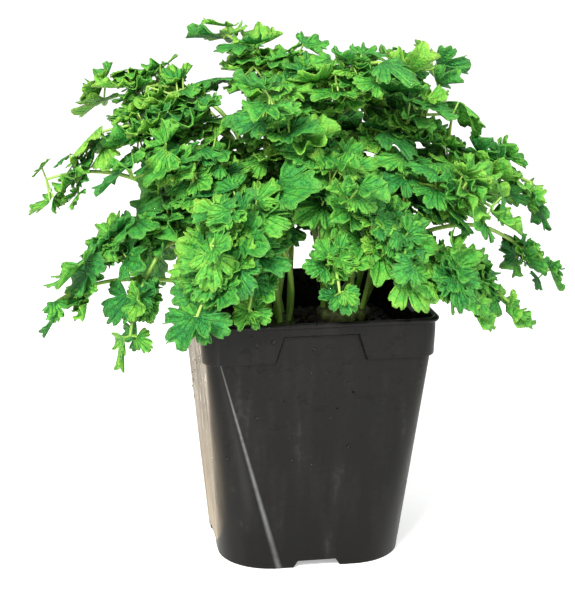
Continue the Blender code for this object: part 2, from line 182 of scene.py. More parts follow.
# Leaflets on each side: where the rib leaves the midrib, its heading, the rib's and the leaflet's length.
# Then the tip leaflet: where it starts and its length. All lengths are shares of the blade's length.
KINDS = {
    "full": ([(0.12, 68, 0.15, 0.33), (0.44, 50, 0.08, 0.25)], (0.68, 0.32)),
    "small": ([(0.36, 62, 0.08, 0.36)], (0.66, 0.34)),
}
# Half of a leaflet's outline: angle from its own axis and distance from its base, as a share of its length.
LOBES = [(78, 0.30), (44, 0.66), (27, 0.56), (9, 0.98)]
LOBE_DROOP = 0.22  # how far a leaflet's far edge hangs below its base, as a share of its length
print("leaves:", len(LEAVES), "of which full:", sum(leaf[0] == "full" for leaf in LEAVES))


# %% Rounded squares seen from above
def ring_points(half, corner, z, recess_half=0.0, recess_depth=0.0):
    """A rounded square seen from above, anticlockwise, with a dent recess_depth deep in each side."""
    points = []
    for quarter in range(4):
        turn = Matrix.Rotation(quarter * math.pi / 2, 3, "Z")
        inner = recess_half
        outer = recess_half + RECESS_BEVEL
        for x, depth in ((-outer, 0), (-inner, recess_depth), (inner, recess_depth), (outer, 0)):
            points.append(turn @ Vector((x, -half + depth, z)))
        for step in range(CORNER_STEPS + 1):
            angle = math.pi / 2 * (step / CORNER_STEPS - 1)
            centre = half - corner
            x = centre + corner * math.cos(angle)
            y = -centre + corner * math.sin(angle)
            points.append(turn @ Vector((x, y, z)))
    return points


def wall_at(z, inset=0.0):
    """Half width and corner radius of the tapered wall at a height, moved inwards by inset."""
    share = z / SHOULDER_Z
    half = FOOT_HALF + (COLLAR_FOOT_HALF - SHOULDER_STEP - FOOT_HALF) * share
    corner = FOOT_CORNER + (TOP_CORNER - FOOT_CORNER) * share
    return half - inset, max(corner - inset, 0.002)


def wall_ring(z, inset=0.0):
    half, corner = wall_at(z, inset)
    flat = half - corner
    return ring_points(half, corner, z, min(RECESS_HALF_FOOT, 0.8 * flat))


def collar_ring(z, half, recess_half, recess_depth, inset=0.0):
    corner = TOP_CORNER + SHOULDER_STEP - inset
    return ring_points(half - inset, corner, z, recess_half, recess_depth)


print("points in a ring of the wall:", len(wall_ring(SHOULDER_Z)))


# %% Heights of the soil and of the crowns
def soil_height(x, y):
    """The top of the soil: a low mound, highest in the middle."""
    edge = max(abs(x), abs(y)) / (COLLAR_FOOT_HALF - SHOULDER_STEP - WALL)
    mound = SOIL_MOUND * max(0.0, 1 - edge**2)
    return SOIL_EDGE + mound


def crown_top(name):
    """The middle of a crown's flat top."""
    x, y = CROWNS[name]
    return Vector((x, y, soil_height(x, y) + GAP + CROWN_LIFT + CROWN_HEIGHT))


print("the soil is highest at", round(soil_height(0, 0), 4), "m")


# %% Places on a bent blade
def heading_vector(heading, pitch):
    h, p = math.radians(heading), math.radians(pitch)
    return Vector((math.cos(p) * math.cos(h), math.cos(p) * math.sin(h), math.sin(p)))


def arc(bend, distance, axis):
    """A move of distance along a curve that bends by bend per metre: along X bending down, or along Y."""
    angle = bend * distance
    along = math.sin(angle) / bend
    down = -(1 - math.cos(angle)) / bend
    if axis == "X":
        return Matrix.Translation((along, 0, down)) @ Matrix.Rotation(angle, 4, "Y")
    return Matrix.Translation((0, along, down)) @ Matrix.Rotation(-angle, 4, "X")


def on_blade(frame, length, along, across):
    """The frame on the bent blade at a place given as shares of its length: X forward, Z out of its top."""
    forward = arc(DROOP / length, along * length, "X")
    sideways = arc(CUP / length, across * length, "Y")
    return frame @ forward @ sideways


def blade_frame(leaf):
    """The frame at the base of a leaf's blade: X along its midrib, Z out of its upper side."""
    _, _, heading, out, up, pitch, roll, length = leaf
    forward = heading_vector(heading, pitch)
    upward = heading_vector(heading, pitch + 90)
    side = upward.cross(forward)
    frame = Matrix((forward, side, upward)).transposed().to_4x4()
    frame = frame @ Matrix.Rotation(math.radians(roll), 4, "X")
    middle = arc(DROOP / length, MIDDLE * length, "X").translation
    target = Vector((out * math.cos(math.radians(heading)), out * math.sin(math.radians(heading)), up))
    frame.translation = target - frame.to_3x3() @ middle
    return frame


# %% Where the stalks start and how they run
def stalk_starts():
    """Where each stalk leaves its crown: far-reaching ones from an outer ring, the others from an inner."""
    starts = {}
    for crown in CROWNS:
        top = crown_top(crown)
        mine = [i for i, leaf in enumerate(LEAVES) if leaf[1] == crown]
        reach = {}
        for i in mine:
            offset = blade_frame(LEAVES[i]).translation - top
            reach[i] = (math.hypot(offset.x, offset.y), math.atan2(offset.y, offset.x))
        mine.sort(key=lambda i: -reach[i][0])
        outer_count = round(len(mine) * OUTER_SHARE)
        for ring, radius in ((mine[:outer_count], OUTER_RING), (mine[outer_count:], INNER_RING)):
            ring.sort(key=lambda i: reach[i][1])
            first = sum(reach[i][1] - math.tau * n / len(ring) for n, i in enumerate(ring)) / len(ring)
            for n, i in enumerate(ring):
                angle = first + math.tau * n / len(ring)
                away = Vector((math.cos(angle), math.sin(angle), 0))
                starts[i] = top + away * CROWN_RADIUS * radius + Vector((0, 0, GAP))
    return starts


def stalk_line(start, end, frame, bow, steps):
    """The stalk's middle line: straight up out of the crown, then over into the line of the midrib."""
    span = (end - start).length
    away = Vector((end.x - start.x, end.y - start.y, 0))
    sideways = Vector((-away.y, away.x, 0)).normalized() * span * bow
    rise = start + Vector((0, 0, span * STALK_RISE)) + away * STALK_LEAN + sideways
    fall = end - frame.col[0].to_3d() * span * STALK_RISE + sideways
    points = []
    for step in range(steps + 1):
        t = step / steps
        s = 1 - t
        points.append(start * s**3 + rise * (3 * s * s * t) + fall * (3 * s * t * t) + end * t**3)
    return points


def stalk_points(start, frame, bow):
    """The line of the plain stalk, which stops a small gap short of the blade."""
    end = frame.translation - frame.to_3x3() @ Vector((GAP, 0, 0))
    return stalk_line(start, end, frame, bow, STALK_RINGS - 1)


print("stalks:", len(stalk_starts()))


# %% Rings round a stalk
def tube_rings(points, end_axis, extra):
    """Rings round a line, square to it: the first one is level and the last faces along end_axis."""
    axes = [Vector((0, 0, 1))]
    axes += [(after - before).normalized() for before, after in zip(points, points[2:])]
    axes += [end_axis]
    rings = []
    for i, (point, axis) in enumerate(zip(points, axes)):
        side = axis.cross(Vector((0.3, 0.9, 0.1))).normalized()
        other = axis.cross(side)
        share = i / (len(points) - 1)
        radius = STALK_RADIUS + (STALK_TIP_RADIUS - STALK_RADIUS) * share + extra
        ring = []
        for n in range(STALK_SIDES):
            a = math.tau * n / STALK_SIDES
            ring.append(point + side * radius * math.cos(a) + other * radius * math.sin(a))
        rings.append(ring)
    return rings


# %% A plain blade, for keeping leaves apart
def leaflet(along, heading, rib, size, rib_half):
    """A leaflet's outline on its rib, from the rear edge of the rib round to its front edge."""
    turn = math.radians(heading)
    forward = Vector((math.cos(turn), math.sin(turn)))
    left = Vector((-forward.y, forward.x))
    root = Vector((along, 0))
    if heading:
        root.y = math.copysign(rib_half, heading)
    start = root + forward * rib
    points = []
    for angle, distance in [(-angle, distance) for angle, distance in LOBES] + LOBES[::-1]:
        a = math.radians(angle)
        place = start + (forward * math.cos(a) + left * math.sin(a)) * distance * size
        points.append((place.x, place.y, -LOBE_DROOP * size * distance**2))
    if not rib:
        return [(root.x, -rib_half, 0.0), *points, (root.x, rib_half, 0.0)]
    wide = rib_half * left
    rear, front = root - wide, root + wide
    rear_end, front_end = start - wide, start + wide
    return [
        (rear.x, root.y, 0.0),
        (rear_end.x, rear_end.y, 0.0),
        *points,
        (front_end.x, front_end.y, 0.0),
        (front.x, root.y, 0.0),
    ]


def blade_outline(kind, rib_half):
    """The blade's outline laid flat, anticlockwise, as (along, across, height) in shares of its length."""
    pairs, (tip, tip_size) = KINDS[kind]
    right = [(0.0, -rib_half, 0.0)]
    for along, heading, rib, size in pairs:
        right += leaflet(along, -heading, rib, size, rib_half)
    across = [(x, -y, z) for x, y, z in reversed(right)]
    return right + leaflet(tip, 0, 0, tip_size, rib_half) + across


def blade_mesh(leaf, frame, extra=0.0):
    """The blade as a bent plate: (points, faces)."""
    kind, length = leaf[0], leaf[-1]
    outline = blade_outline(kind, (RIB_HALF + extra / 2) / length)
    half = (BLADE_THICKNESS + extra) / 2
    upper, lower = [], []
    for along, across, height in outline:
        place = on_blade(frame, length, along, across)
        upper.append(place @ Vector((0, 0, height * length + half)))
        lower.append(place @ Vector((0, 0, height * length - half)))
    count = len(outline)
    flat = [Vector((x, y)) for x, y, _ in outline]
    triangles = delaunay_2d_cdt(flat, [], [list(range(count))], 1, 1e-6)[2]
    faces = [tuple(t) for t in triangles]
    faces += [tuple(i + count for i in t[::-1]) for t in triangles]
    for i in range(count):
        j = (i + 1) % count
        faces += [(j, i, i + count), (j, i + count, j + count)]
    return upper + lower, faces


# %% A plain stalk and the pot's outside, for the same
def stalk_mesh(start, frame, bow, extra=0.0):
    """The stalk as a tapering tube: (points, faces)."""
    rings = tube_rings(stalk_points(start, frame, bow), frame.col[0].to_3d(), extra)
    points = [point for ring in rings for point in ring]
    sides = STALK_SIDES
    faces = [tuple(range(sides))[::-1], tuple(range(len(points) - sides, len(points)))]
    for row in range(len(rings) - 1):
        for i in range(sides):
            j = (i + 1) % sides
            a, b = row * sides + i, row * sides + j
            faces.append((a, b, b + sides, a + sides))
    return points, faces


def pot_tree():
    """The outside of the pot as a plain tapered block, for keeping leaves clear of it."""
    half, top = LIP_HALF + CLEARANCE, POT_HEIGHT + CLEARANCE
    foot = FOOT_HALF + CLEARANCE
    square = ((-1, -1), (1, -1), (1, 1), (-1, 1))
    rim = POT_HEIGHT - COLLAR_HEIGHT
    rows = [[Vector((x * foot, y * foot, 0)) for x, y in square]]
    rows += [[Vector((x * half, y * half, z)) for x, y in square] for z in (rim, top)]
    points = [point for row in rows for point in row]
    faces = []
    for low in (0, 4):
        for i in range(4):
            j = (i + 1) % 4
            faces.append((low + i, low + j, low + j + 4, low + i + 4))
    return BVHTree.FromPolygons(points, faces)


# %% Lay the leaves out
def leaf_layout():
    """Every leaf as (leaf, start, frame, bow), each moved a little if need be to clear the others."""
    chance = random.Random(3)
    starts = stalk_starts()
    blades, stalks = [], []
    pot = pot_tree()
    layout = []
    for index, leaf in enumerate(LEAVES):
        start = starts[index]
        best = None
        for attempt in range(TRIES):
            share = min(1.0, attempt / TRIES_TO_FULL)
            moves = [chance.uniform(-1, 1) * share * most for most in NUDGES]
            bow = chance.uniform(-1, 1) * share * MOST_BOW
            kind, crown, *placing, length = leaf
            tried = (kind, crown, *[value + move for value, move in zip(placing, moves)], length)
            frame = blade_frame(tried)
            blade = BVHTree.FromPolygons(*blade_mesh(tried, frame, CLEARANCE))
            stalk = BVHTree.FromPolygons(*stalk_mesh(start, frame, bow, CLEARANCE / 2))
            others = blades + stalks + [pot]
            clashes = sum(1 for other in others if blade.overlap(other))
            clashes += sum(1 for other in others if stalk.overlap(other))
            if best is None or clashes < best[0]:
                best = (clashes, tried, frame, bow, blade, stalk)
            if clashes == 0:
                break
        clashes, tried, frame, bow, blade, stalk = best
        blades.append(blade)
        stalks.append(stalk)
        layout.append((tried, start, frame, bow))
    return layout


layout = leaf_layout()
print("leaves laid out:", len(layout))

# %% [markdown]
# ## Finishes
#
# Leaf, stalk, soil and plastic each get a material of their own. They share one small node group, a soft
# mottling in object coordinates, which varies colour and roughness so that nothing looks like one flat paint.

# %% A node group that mottles a surface
def new_socket(tree, name, kind, direction, default=None):
    socket = tree.interface.new_socket(name=name, in_out=direction, socket_type=kind)
    if default is not None:
        socket.default_value = default
    return socket


def mottle_group():
    """Fine and coarse noise mixed into one value from 0 to 1."""
    tree = bpy.data.node_groups.new("Mottle", "ShaderNodeTree")
    new_socket(tree, "Coarse scale", "NodeSocketFloat", "INPUT", 60.0)
    new_socket(tree, "Fine scale", "NodeSocketFloat", "INPUT", 600.0)
    new_socket(tree, "Fine share", "NodeSocketFloat", "INPUT", 0.35)
    new_socket(tree, "Mottling", "NodeSocketFloat", "OUTPUT")
    nodes, links = tree.nodes, tree.links
    given = nodes.new("NodeGroupInput")
    result = nodes.new("NodeGroupOutput")
    place = nodes.new("ShaderNodeTexCoord")
    mixed = nodes.new("ShaderNodeMix")
    for name, slot in (("Coarse scale", 2), ("Fine scale", 3)):
        noise = nodes.new("ShaderNodeTexNoise")
        noise.inputs["Detail"].default_value = 3.0
        links.new(place.outputs["Object"], noise.inputs["Vector"])
        links.new(given.outputs[name], noise.inputs["Scale"])
        links.new(noise.outputs["Fac"], mixed.inputs[slot])
    links.new(given.outputs["Fine share"], mixed.inputs[0])
    links.new(mixed.outputs[0], result.inputs["Mottling"])
    return tree


MOTTLE = mottle_group()
print("node group:", MOTTLE.name)


# %% Helpers for writing materials
class Recipe:
    """A material being written: short calls that add nodes and join them."""

    def __init__(self, name):
        self.material = bpy.data.materials.new(name)
        self.material.use_nodes = True
        self.nodes = self.material.node_tree.nodes
        self.links = self.material.node_tree.links
        self.shader = self.nodes["Principled BSDF"]

    def join(self, source, target):
        self.links.new(source, target)

    def mottle(self, coarse, fine, share):
        node = self.nodes.new("ShaderNodeGroup")
        node.node_tree = MOTTLE
        node.inputs["Coarse scale"].default_value = coarse
        node.inputs["Fine scale"].default_value = fine
        node.inputs["Fine share"].default_value = share
        return node.outputs["Mottling"]

    def attribute(self, name):
        node = self.nodes.new("ShaderNodeAttribute")
        node.attribute_name = name
        return node.outputs["Fac"]

    def ramp(self, value, stops):
        """A colour ramp: stops are (place, (r, g, b))."""
        node = self.nodes.new("ShaderNodeValToRGB")
        elements = node.color_ramp.elements
        while len(elements) < len(stops):
            elements.new(0.5)
        for element, (place, colour) in zip(elements, stops):
            element.position = place
            element.color = (*colour, 1.0)
        self.join(value, node.inputs["Fac"])
        return node.outputs["Color"]

    def spread(self, value, low, high, to_low=0.0, to_high=1.0):
        node = self.nodes.new("ShaderNodeMapRange")
        ends = {"From Min": low, "From Max": high, "To Min": to_low, "To Max": to_high}
        for name, number in ends.items():
            node.inputs[name].default_value = number
        self.join(value, node.inputs["Value"])
        return node.outputs["Result"]

    def math(self, operation, *values):
        node = self.nodes.new("ShaderNodeMath")
        node.operation = operation
        for socket, value in zip(node.inputs, values):
            if isinstance(value, (int, float)):
                socket.default_value = value
            else:
                self.join(value, socket)
        return node.outputs[0]

    def blend(self, share, first, second, kind="MIX"):
        """Two colours mixed by share, which is a number or a socket."""
        node = self.nodes.new("ShaderNodeMix")
        node.data_type = "RGBA"
        node.blend_type = kind
        for slot, value in ((0, share), (6, first), (7, second)):
            socket = node.inputs[slot]
            if isinstance(value, (int, float)):
                socket.default_value = value
            elif isinstance(value, tuple):
                socket.default_value = (*value, 1.0)
            else:
                self.join(value, socket)
        return node.outputs[2]

    def bump(self, height, strength, distance):
        node = self.nodes.new("ShaderNodeBump")
        node.inputs["Strength"].default_value = strength
        node.inputs["Distance"].default_value = distance
        self.join(height, node.inputs["Height"])
        self.join(node.outputs["Normal"], self.shader.inputs["Normal"])

    def colour(self, value):
        self.join(value, self.shader.inputs["Base Color"])

    def roughness(self, value):
        if isinstance(value, (int, float)):
            self.shader.inputs["Roughness"].default_value = value
        else:
            self.join(value, self.shader.inputs["Roughness"])


# %% [markdown]
# ### Leaf
#
# A leaflet is darkened towards its base as painted shade, where leaflets crowd together, and its curled
# margin is paled as a painted highlight, more on the upper leaves. Each leaflet has a tone of its own, which
# mixes random variation with painted shade, from deep green low inside the plant to fresh yellow green high
# up.
# The veins run out as rays, one to a tooth: the ray attribute counts teeth across the leaflet, so its
# fraction tells how near a vein is.

# %% Leaf material
def leaf_material():
    made = Recipe("parsley_leaf")
    ray, rim, tone = (made.attribute(name) for name in ("ray", "rim", "tone"))
    vein = made.math("ABSOLUTE", made.math("SUBTRACT", made.math("FRACT", ray), 0.5))
    vein_line = made.spread(vein, 0.0, 0.18, 1.0, 0.0)
    mottling = made.mottle(260.0, 950.0, 0.50)
    # The leaflet's tone holds random variation plus painted shade: darker on low leaves, paler on high ones.
    shade = made.math("ADD", tone, made.math("MULTIPLY", made.math("SUBTRACT", mottling, 0.5), 1.4))
    green = made.ramp(
        shade,
        [
            (0.05, (0.005, 0.080, 0.020)),
            (0.35, (0.019, 0.205, 0.036)),
            (0.62, (0.072, 0.370, 0.040)),
            (0.85, (0.180, 0.490, 0.050)),
            (1.0, (0.330, 0.560, 0.080)),
        ],
    )
    # Painted shade: the leaflet's base is darkened towards deep green, where leaflets crowd together.
    base_shaded = made.blend(made.spread(rim, 0.0, 0.5, 0.35, 0.0), green, (0.010, 0.130, 0.020))
    # Painted highlight: the curled margin is paled to yellow green, more on the upper leaves that get more
    # light.
    near_rim, tone_and_light = made.spread(rim, 0.74, 1.0, 0.0, 0.38), made.spread(tone, 0.2, 0.9)
    rim_highlight = made.math("MULTIPLY", near_rim, tone_and_light)
    rim_lit = made.blend(rim_highlight, base_shaded, (0.300, 0.470, 0.060))
    vein_share = made.math("MULTIPLY", vein_line, 0.22)
    made.colour(made.blend(vein_share, rim_lit, (0.150, 0.360, 0.050)))
    made.roughness(made.spread(mottling, 0.30, 0.70, 0.42, 0.66))
    made.shader.inputs["Specular IOR Level"].default_value = 0.32
    sunk_veins, puckers = made.math("MULTIPLY", vein_line, -0.5), made.math("MULTIPLY", mottling, 1.6)
    made.bump(made.math("ADD", sunk_veins, puckers), 1.0, 0.0014)
    return made.material


LEAF = leaf_material()
print("made", LEAF.name)


# %% [markdown]
# ### Stalk
#
# A stalk is paler and glossier than the leaflets, with whitish green where the light catches its ridges. The
# mottling's coarse part shades it along its length, which a plain colour would not, and its fine part stands
# for the faint lines in its skin.

# %% Stalk material
def stalk_material():
    made = Recipe("parsley_stalk")
    mottling = made.mottle(45.0, 700.0, 0.3)
    greens = [(0.3, (0.18, 0.40, 0.045)), (0.55, (0.32, 0.54, 0.09)), (0.75, (0.50, 0.66, 0.22))]
    made.colour(made.ramp(mottling, greens))
    made.roughness(made.spread(mottling, 0.3, 0.7, 0.32, 0.48))
    made.bump(mottling, 0.3, 0.0003)
    return made.material


STALK = stalk_material()
print("made", STALK.name)


# %% [markdown]
# ### Crown
#
# The wrapped stalk bases are pale green, browned where they have dried and dark where soil clings. One ramp
# on a coarse mottling gives all three, and the same mottling makes the dry spots rough and the green ones
# smoother, so that colour and shine agree.

# %% Crown material
def crown_material():
    made = Recipe("parsley_crown")
    mottling = made.mottle(160.0, 900.0, 0.5)
    earth, rind, green = (0.020, 0.015, 0.008), (0.070, 0.090, 0.022), (0.150, 0.230, 0.050)
    made.colour(made.ramp(mottling, [(0.32, earth), (0.50, rind), (0.70, green)]))
    made.roughness(made.spread(mottling, 0.3, 0.7, 0.85, 0.55))
    made.bump(mottling, 0.8, 0.0008)
    return made.material


CROWN = crown_material()
print("made", CROWN.name)


# %% [markdown]
# ### Soil
#
# Damp peat is nearly black, with paler dry fibres here and there. It is rough all over, and most of its grain
# comes from real crumbs on top, so the material adds only what is finer than they are.

# %% Soil material
def soil_material():
    made = Recipe("damp_soil")
    mottling = made.mottle(140.0, 1300.0, 0.5)
    wet, damp, fibre = (0.006, 0.004, 0.003), (0.022, 0.013, 0.008), (0.075, 0.045, 0.026)
    made.colour(made.ramp(mottling, [(0.30, wet), (0.52, damp), (0.72, fibre)]))
    made.roughness(made.spread(mottling, 0.35, 0.65, 0.55, 0.95))
    made.bump(mottling, 1.0, 0.0016)
    return made.material


SOIL = soil_material()
print("made", SOIL.name)


# %% [markdown]
# ### Black plastic
#
# The pot is thin moulded plastic with a soft sheen. Handling leaves faint smears, watering leaves dried
# streaks that run down the walls, and a few tiny pale specks of lime stick to it. Where the flat front meets
# the rounded corner, a thin painted highlight lightens the colour along that line. Near the rim it is
# wet in patches, which are darker and shinier.

# %% Plastic material
FLAT_FOOT = FOOT_HALF - FOOT_CORNER  # half the width of a side's flat part, at the foot and at the shoulder
FLAT_TOP = COLLAR_FOOT_HALF - SHOULDER_STEP - TOP_CORNER


def streaked(made, place, mottling):
    """Streaks that run down the walls: a noise drawn out upwards, stronger where the mottling is."""
    stretch = made.nodes.new("ShaderNodeMapping")
    stretch.inputs["Scale"].default_value = (1.0, 1.0, 0.12)
    made.join(place, stretch.inputs["Vector"])
    streaks = made.nodes.new("ShaderNodeTexNoise")
    streaks.inputs["Scale"].default_value = 190.0
    streaks.inputs["Detail"].default_value = 4.0
    made.join(stretch.outputs["Vector"], streaks.inputs["Vector"])
    return made.spread(made.math("MULTIPLY", streaks.outputs["Fac"], mottling), 0.22, 0.42)


def painted_crease_highlight(made, across, depth, height, mottling):
    """Painted highlight on the front, where the flat wall ends: wide at the foot and thin at the shoulder."""
    flat_half = made.spread(height, 0.0, SHOULDER_Z, FLAT_FOOT, FLAT_TOP)
    crease = made.math("ABSOLUTE", made.math("ADD", across, flat_half))
    width = made.spread(height, 0.0, SHOULDER_Z * 1.05, 0.0017, 0.0003)
    highlight_falloff = made.spread(made.math("DIVIDE", crease, width), 0.0, 1.0, 1.0, 0.0)
    on_front = made.math("LESS_THAN", depth, 0.0)
    on_wall = made.math("LESS_THAN", height, SHOULDER_Z)
    crease_highlit = made.math("MULTIPLY", highlight_falloff, made.math("MULTIPLY", on_front, on_wall))
    return made.math("MULTIPLY", crease_highlit, made.spread(mottling, 0.3, 0.7, 0.25, 0.75))


def specked(made, place, mottling):
    """Small dots of lime, only where the mottling is high."""
    speck = made.nodes.new("ShaderNodeTexVoronoi")
    speck.inputs["Scale"].default_value = 55.0
    made.join(place, speck.inputs["Vector"])
    dot = made.spread(speck.outputs["Distance"], 0.02, 0.035, 1.0, 0.0)
    return made.math("MULTIPLY", dot, made.math("GREATER_THAN", mottling, 0.60))


def plastic_material():
    made = Recipe("pot_plastic")
    place = made.nodes.new("ShaderNodeTexCoord").outputs["Object"]
    sides = made.nodes.new("ShaderNodeSeparateXYZ")
    made.join(place, sides.inputs["Vector"])
    across, depth, height = (sides.outputs[axis] for axis in "XYZ")
    mottling = made.mottle(38.0, 420.0, 0.35)
    smear = streaked(made, place, mottling)
    clean, handled, dusty = (0.0055, 0.0053, 0.0050), (0.009, 0.0087, 0.008), (0.020, 0.019, 0.017)
    base = made.ramp(smear, [(0.0, clean), (0.6, handled), (1.0, dusty)])
    patches = made.spread(made.mottle(150.0, 520.0, 0.35), 0.56, 0.62)
    wet = made.math("MULTIPLY", patches, made.spread(height, 0.040, 0.085))
    damp = made.blend(wet, base, (0.0032, 0.0031, 0.0030))
    # The pale grey blended in here is a painted highlight along the front's crease, not a mark in the
    # plastic.
    crease_highlit = made.blend(painted_crease_highlight(made, across, depth, height, mottling), damp, (0.22, 0.22, 0.23))
    made.colour(made.blend(specked(made, place, mottling), crease_highlit, (0.30, 0.29, 0.26)))
    dry_roughness = made.spread(smear, 0.0, 1.0, 0.34, 0.52)
    made.roughness(made.math("SUBTRACT", dry_roughness, made.math("MULTIPLY", wet, 0.22)))
    made.shader.inputs["Specular IOR Level"].default_value = 0.17
    made.bump(made.mottle(300.0, 2400.0, 0.5), 0.12, 0.0002)
    return made.material


PLASTIC = plastic_material()
print("made", PLASTIC.name)

# %% [markdown]
# ## The pot
#
# A moulded pot has one wall thickness all over, so it is lofted as one strip of rounded squares that runs up
# the outside, over the rolled lip and down the inside. Each side's label recess is a dent in those rings.
# The foot notches and the drain holes are cut afterwards, because they cross the rings.

# %% Mesh helpers
def link(name, data):
    obj = bpy.data.objects.new(name, data)
    bpy.context.scene.collection.objects.link(obj)
    return obj


def loft(bm, rows):
    """Skins rings of points in turn and closes both ends."""
    rows = [[bm.verts.new(point) for point in ring] for ring in rows]
    count = len(rows[0])
    for lower, upper in zip(rows, rows[1:]):
        for i in range(count):
            j = (i + 1) % count
            bm.faces.new((lower[i], lower[j], upper[j], upper[i]))
    bm.faces.new(rows[0][::-1])
    bm.faces.new(rows[-1])


def mesh_of(bm, name):
    bmesh.ops.recalc_face_normals(bm, faces=bm.faces)
    mesh = bpy.data.meshes.new(name)
    bm.to_mesh(mesh)
    bm.free()
    return mesh


def applied(obj):
    """The object's shape with its modifiers made real, as the same object with a plain mesh."""
    graph = bpy.context.evaluated_depsgraph_get()
    mesh = bpy.data.meshes.new_from_object(obj.evaluated_get(graph))
    obj.modifiers.clear()
    old = obj.data
    obj.data = mesh
    if isinstance(old, bpy.types.Mesh):
        bpy.data.meshes.remove(old)
    return obj


def remove(*objects):
    for obj in objects:
        bpy.data.objects.remove(obj)


# %% [markdown]
# The rings are listed from the ground up. A moulded edge is never quite sharp, so the foot, the shoulder and
# the lip each get rings close together, and shading stays crisp there without a bevel.

# %% The pot's wall
BEAD = 0.0011  # radius of the rolled lip
BEAD_STEPS = 8
BEAD_START, BEAD_SWEEP = -80, 260  # where the lip's roll starts and how far it turns, in degrees
SOFT = 0.0005  # radius of the moulded edges
BODY_STEPS = 12
RECESS_EXTRA = 0.0003  # how much deeper than the shoulder the label recess is at its top
SHOULDER_RISE = 0.0002  # from the end of the wall to the start of the collar
INNER_SHOULDER = 0.0005  # how far above the shoulder the inside steps in


def pot_wall():
    """Every ring of the wall in turn: under the floor, up the outside, over the lip and down the inside."""
    recess_z = POT_HEIGHT - RECESS_TOP
    narrow, wide = RECESS_HALF_TOP, RECESS_HALF_FOOT
    dent = SHOULDER_STEP + RECESS_EXTRA
    under = wall_ring(FLOOR_UNDERSIDE, WALL)
    foot = [wall_ring(0.0, WALL), wall_ring(0.0, SOFT), wall_ring(SOFT)]
    body = [wall_ring(SHOULDER_Z * step / BODY_STEPS) for step in range(1, BODY_STEPS)]
    body.append(wall_ring(SHOULDER_Z))
    low = SHOULDER_Z + SHOULDER_RISE
    high = low + SOFT
    collar = [
        collar_ring(low, COLLAR_FOOT_HALF - SOFT, wide, SHOULDER_STEP - SOFT),
        collar_ring(low + SOFT * 0.3, COLLAR_FOOT_HALF - SOFT * 0.3, wide, SHOULDER_STEP - SOFT * 0.3),
        collar_ring(high, COLLAR_FOOT_HALF, wide, SHOULDER_STEP),
        collar_ring(recess_z, COLLAR_TOP_HALF, narrow, dent),
        collar_ring(recess_z + RECESS_BEVEL, COLLAR_TOP_HALF, narrow, 0),
    ]
    lip_z, lip_half = POT_HEIGHT - BEAD, LIP_HALF - BEAD
    collar.append(collar_ring(lip_z - BEAD, COLLAR_TOP_HALF, narrow, 0))
    for step in range(BEAD_STEPS + 1):
        a = math.radians(BEAD_START + step * BEAD_SWEEP / BEAD_STEPS)
        collar.append(collar_ring(lip_z + BEAD * math.sin(a), lip_half + BEAD * math.cos(a), narrow, 0))
    inside = [
        collar_ring(recess_z + RECESS_BEVEL, COLLAR_TOP_HALF, narrow, 0, WALL),
        collar_ring(recess_z, COLLAR_TOP_HALF, narrow, dent, WALL),
        collar_ring(SHOULDER_Z + INNER_SHOULDER, COLLAR_FOOT_HALF, wide, SHOULDER_STEP, WALL),
        wall_ring(SHOULDER_Z, WALL),
        wall_ring(SHOULDER_Z * 0.5, WALL),
        wall_ring(FLOOR_UNDERSIDE + WALL, WALL),
    ]
    return [under, *foot, *body, *collar, *inside]


print("rings in the pot's wall:", len(pot_wall()))


# %% Cutters for the notches and the drain holes
def notch_cutter(turned):
    """A bar right through the pot that leaves a notch in the middle of two opposite foot edges."""
    bm = bmesh.new()
    reach = LIP_HALF + 10 * MM
    below = 2 * MM
    slope = (NOTCH_HALF_FOOT - NOTCH_HALF_TOP) / NOTCH_HEIGHT
    profile = [
        (-NOTCH_HALF_FOOT - below * slope, -below),
        (NOTCH_HALF_FOOT + below * slope, -below),
        (NOTCH_HALF_TOP, NOTCH_HEIGHT),
        (-NOTCH_HALF_TOP, NOTCH_HEIGHT),
    ]
    loft(bm, [[Vector((x, y, z)) for x, z in profile] for y in (-reach, reach)])
    if turned:
        bmesh.ops.rotate(bm, verts=bm.verts, matrix=Matrix.Rotation(math.pi / 2, 3, "Z"))
    return link("notch_cutter", mesh_of(bm, "notch_cutter"))


def drain_cutter():
    """Five pegs through the floor, one in the middle and one towards each corner."""
    bm = bmesh.new()
    places = [(0.0, 0.0)]
    places += [(x * DRAIN_OFFSET, y * DRAIN_OFFSET) for x in (-1, 1) for y in (-1, 1)]
    for x, y in places:
        bmesh.ops.create_cone(
            bm,
            cap_ends=True,
            segments=24,
            radius1=DRAIN_RADIUS,
            radius2=DRAIN_RADIUS,
            depth=4 * WALL,
            matrix=Matrix.Translation((x, y, FLOOR_UNDERSIDE + WALL / 2)),
        )
    return link("drain_cutter", mesh_of(bm, "drain_cutter"))


# %% Build the pot
SHARP_ANGLE = 38  # edges that turn by more than this many degrees stay crisp


def build_pot():
    bm = bmesh.new()
    loft(bm, pot_wall())
    pot = link("nursery_pot", mesh_of(bm, "nursery_pot"))
    cutters = [notch_cutter(False), notch_cutter(True), drain_cutter()]
    for cutter in cutters:
        cut = pot.modifiers.new(cutter.name, "BOOLEAN")
        cut.object = cutter
        cut.solver = "EXACT"
    applied(pot)
    remove(*cutters)
    pot.data.materials.clear()
    pot.data.materials.append(PLASTIC)
    pot.data.shade_smooth()
    pot.data.set_sharp_from_angle(angle=math.radians(SHARP_ANGLE))
    return pot


pot = build_pot()
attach(pot, "root")
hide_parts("pot")
print("pot faces:", len(pot.data.polygons))

# %% [markdown]
# ## The soil
#
# The soil's block is the frame's own solid, which gets the damp soil finish. Its top is loose and crumbly, so
# crumbs are scattered over it with Geometry Nodes: points on a grid that follows the mound, a low lump on
# each, turned and sized at random.

# %% Geometry Nodes helpers
def set_input(modifier, name, value):
    """Sets a Geometry Nodes modifier's input, found by its name, through the socket's identifier."""
    for item in modifier.node_group.interface.items_tree:
        if item.item_type == "SOCKET" and item.in_out == "INPUT" and item.name == name:
            modifier[item.identifier] = value
            return
    raise KeyError(name)


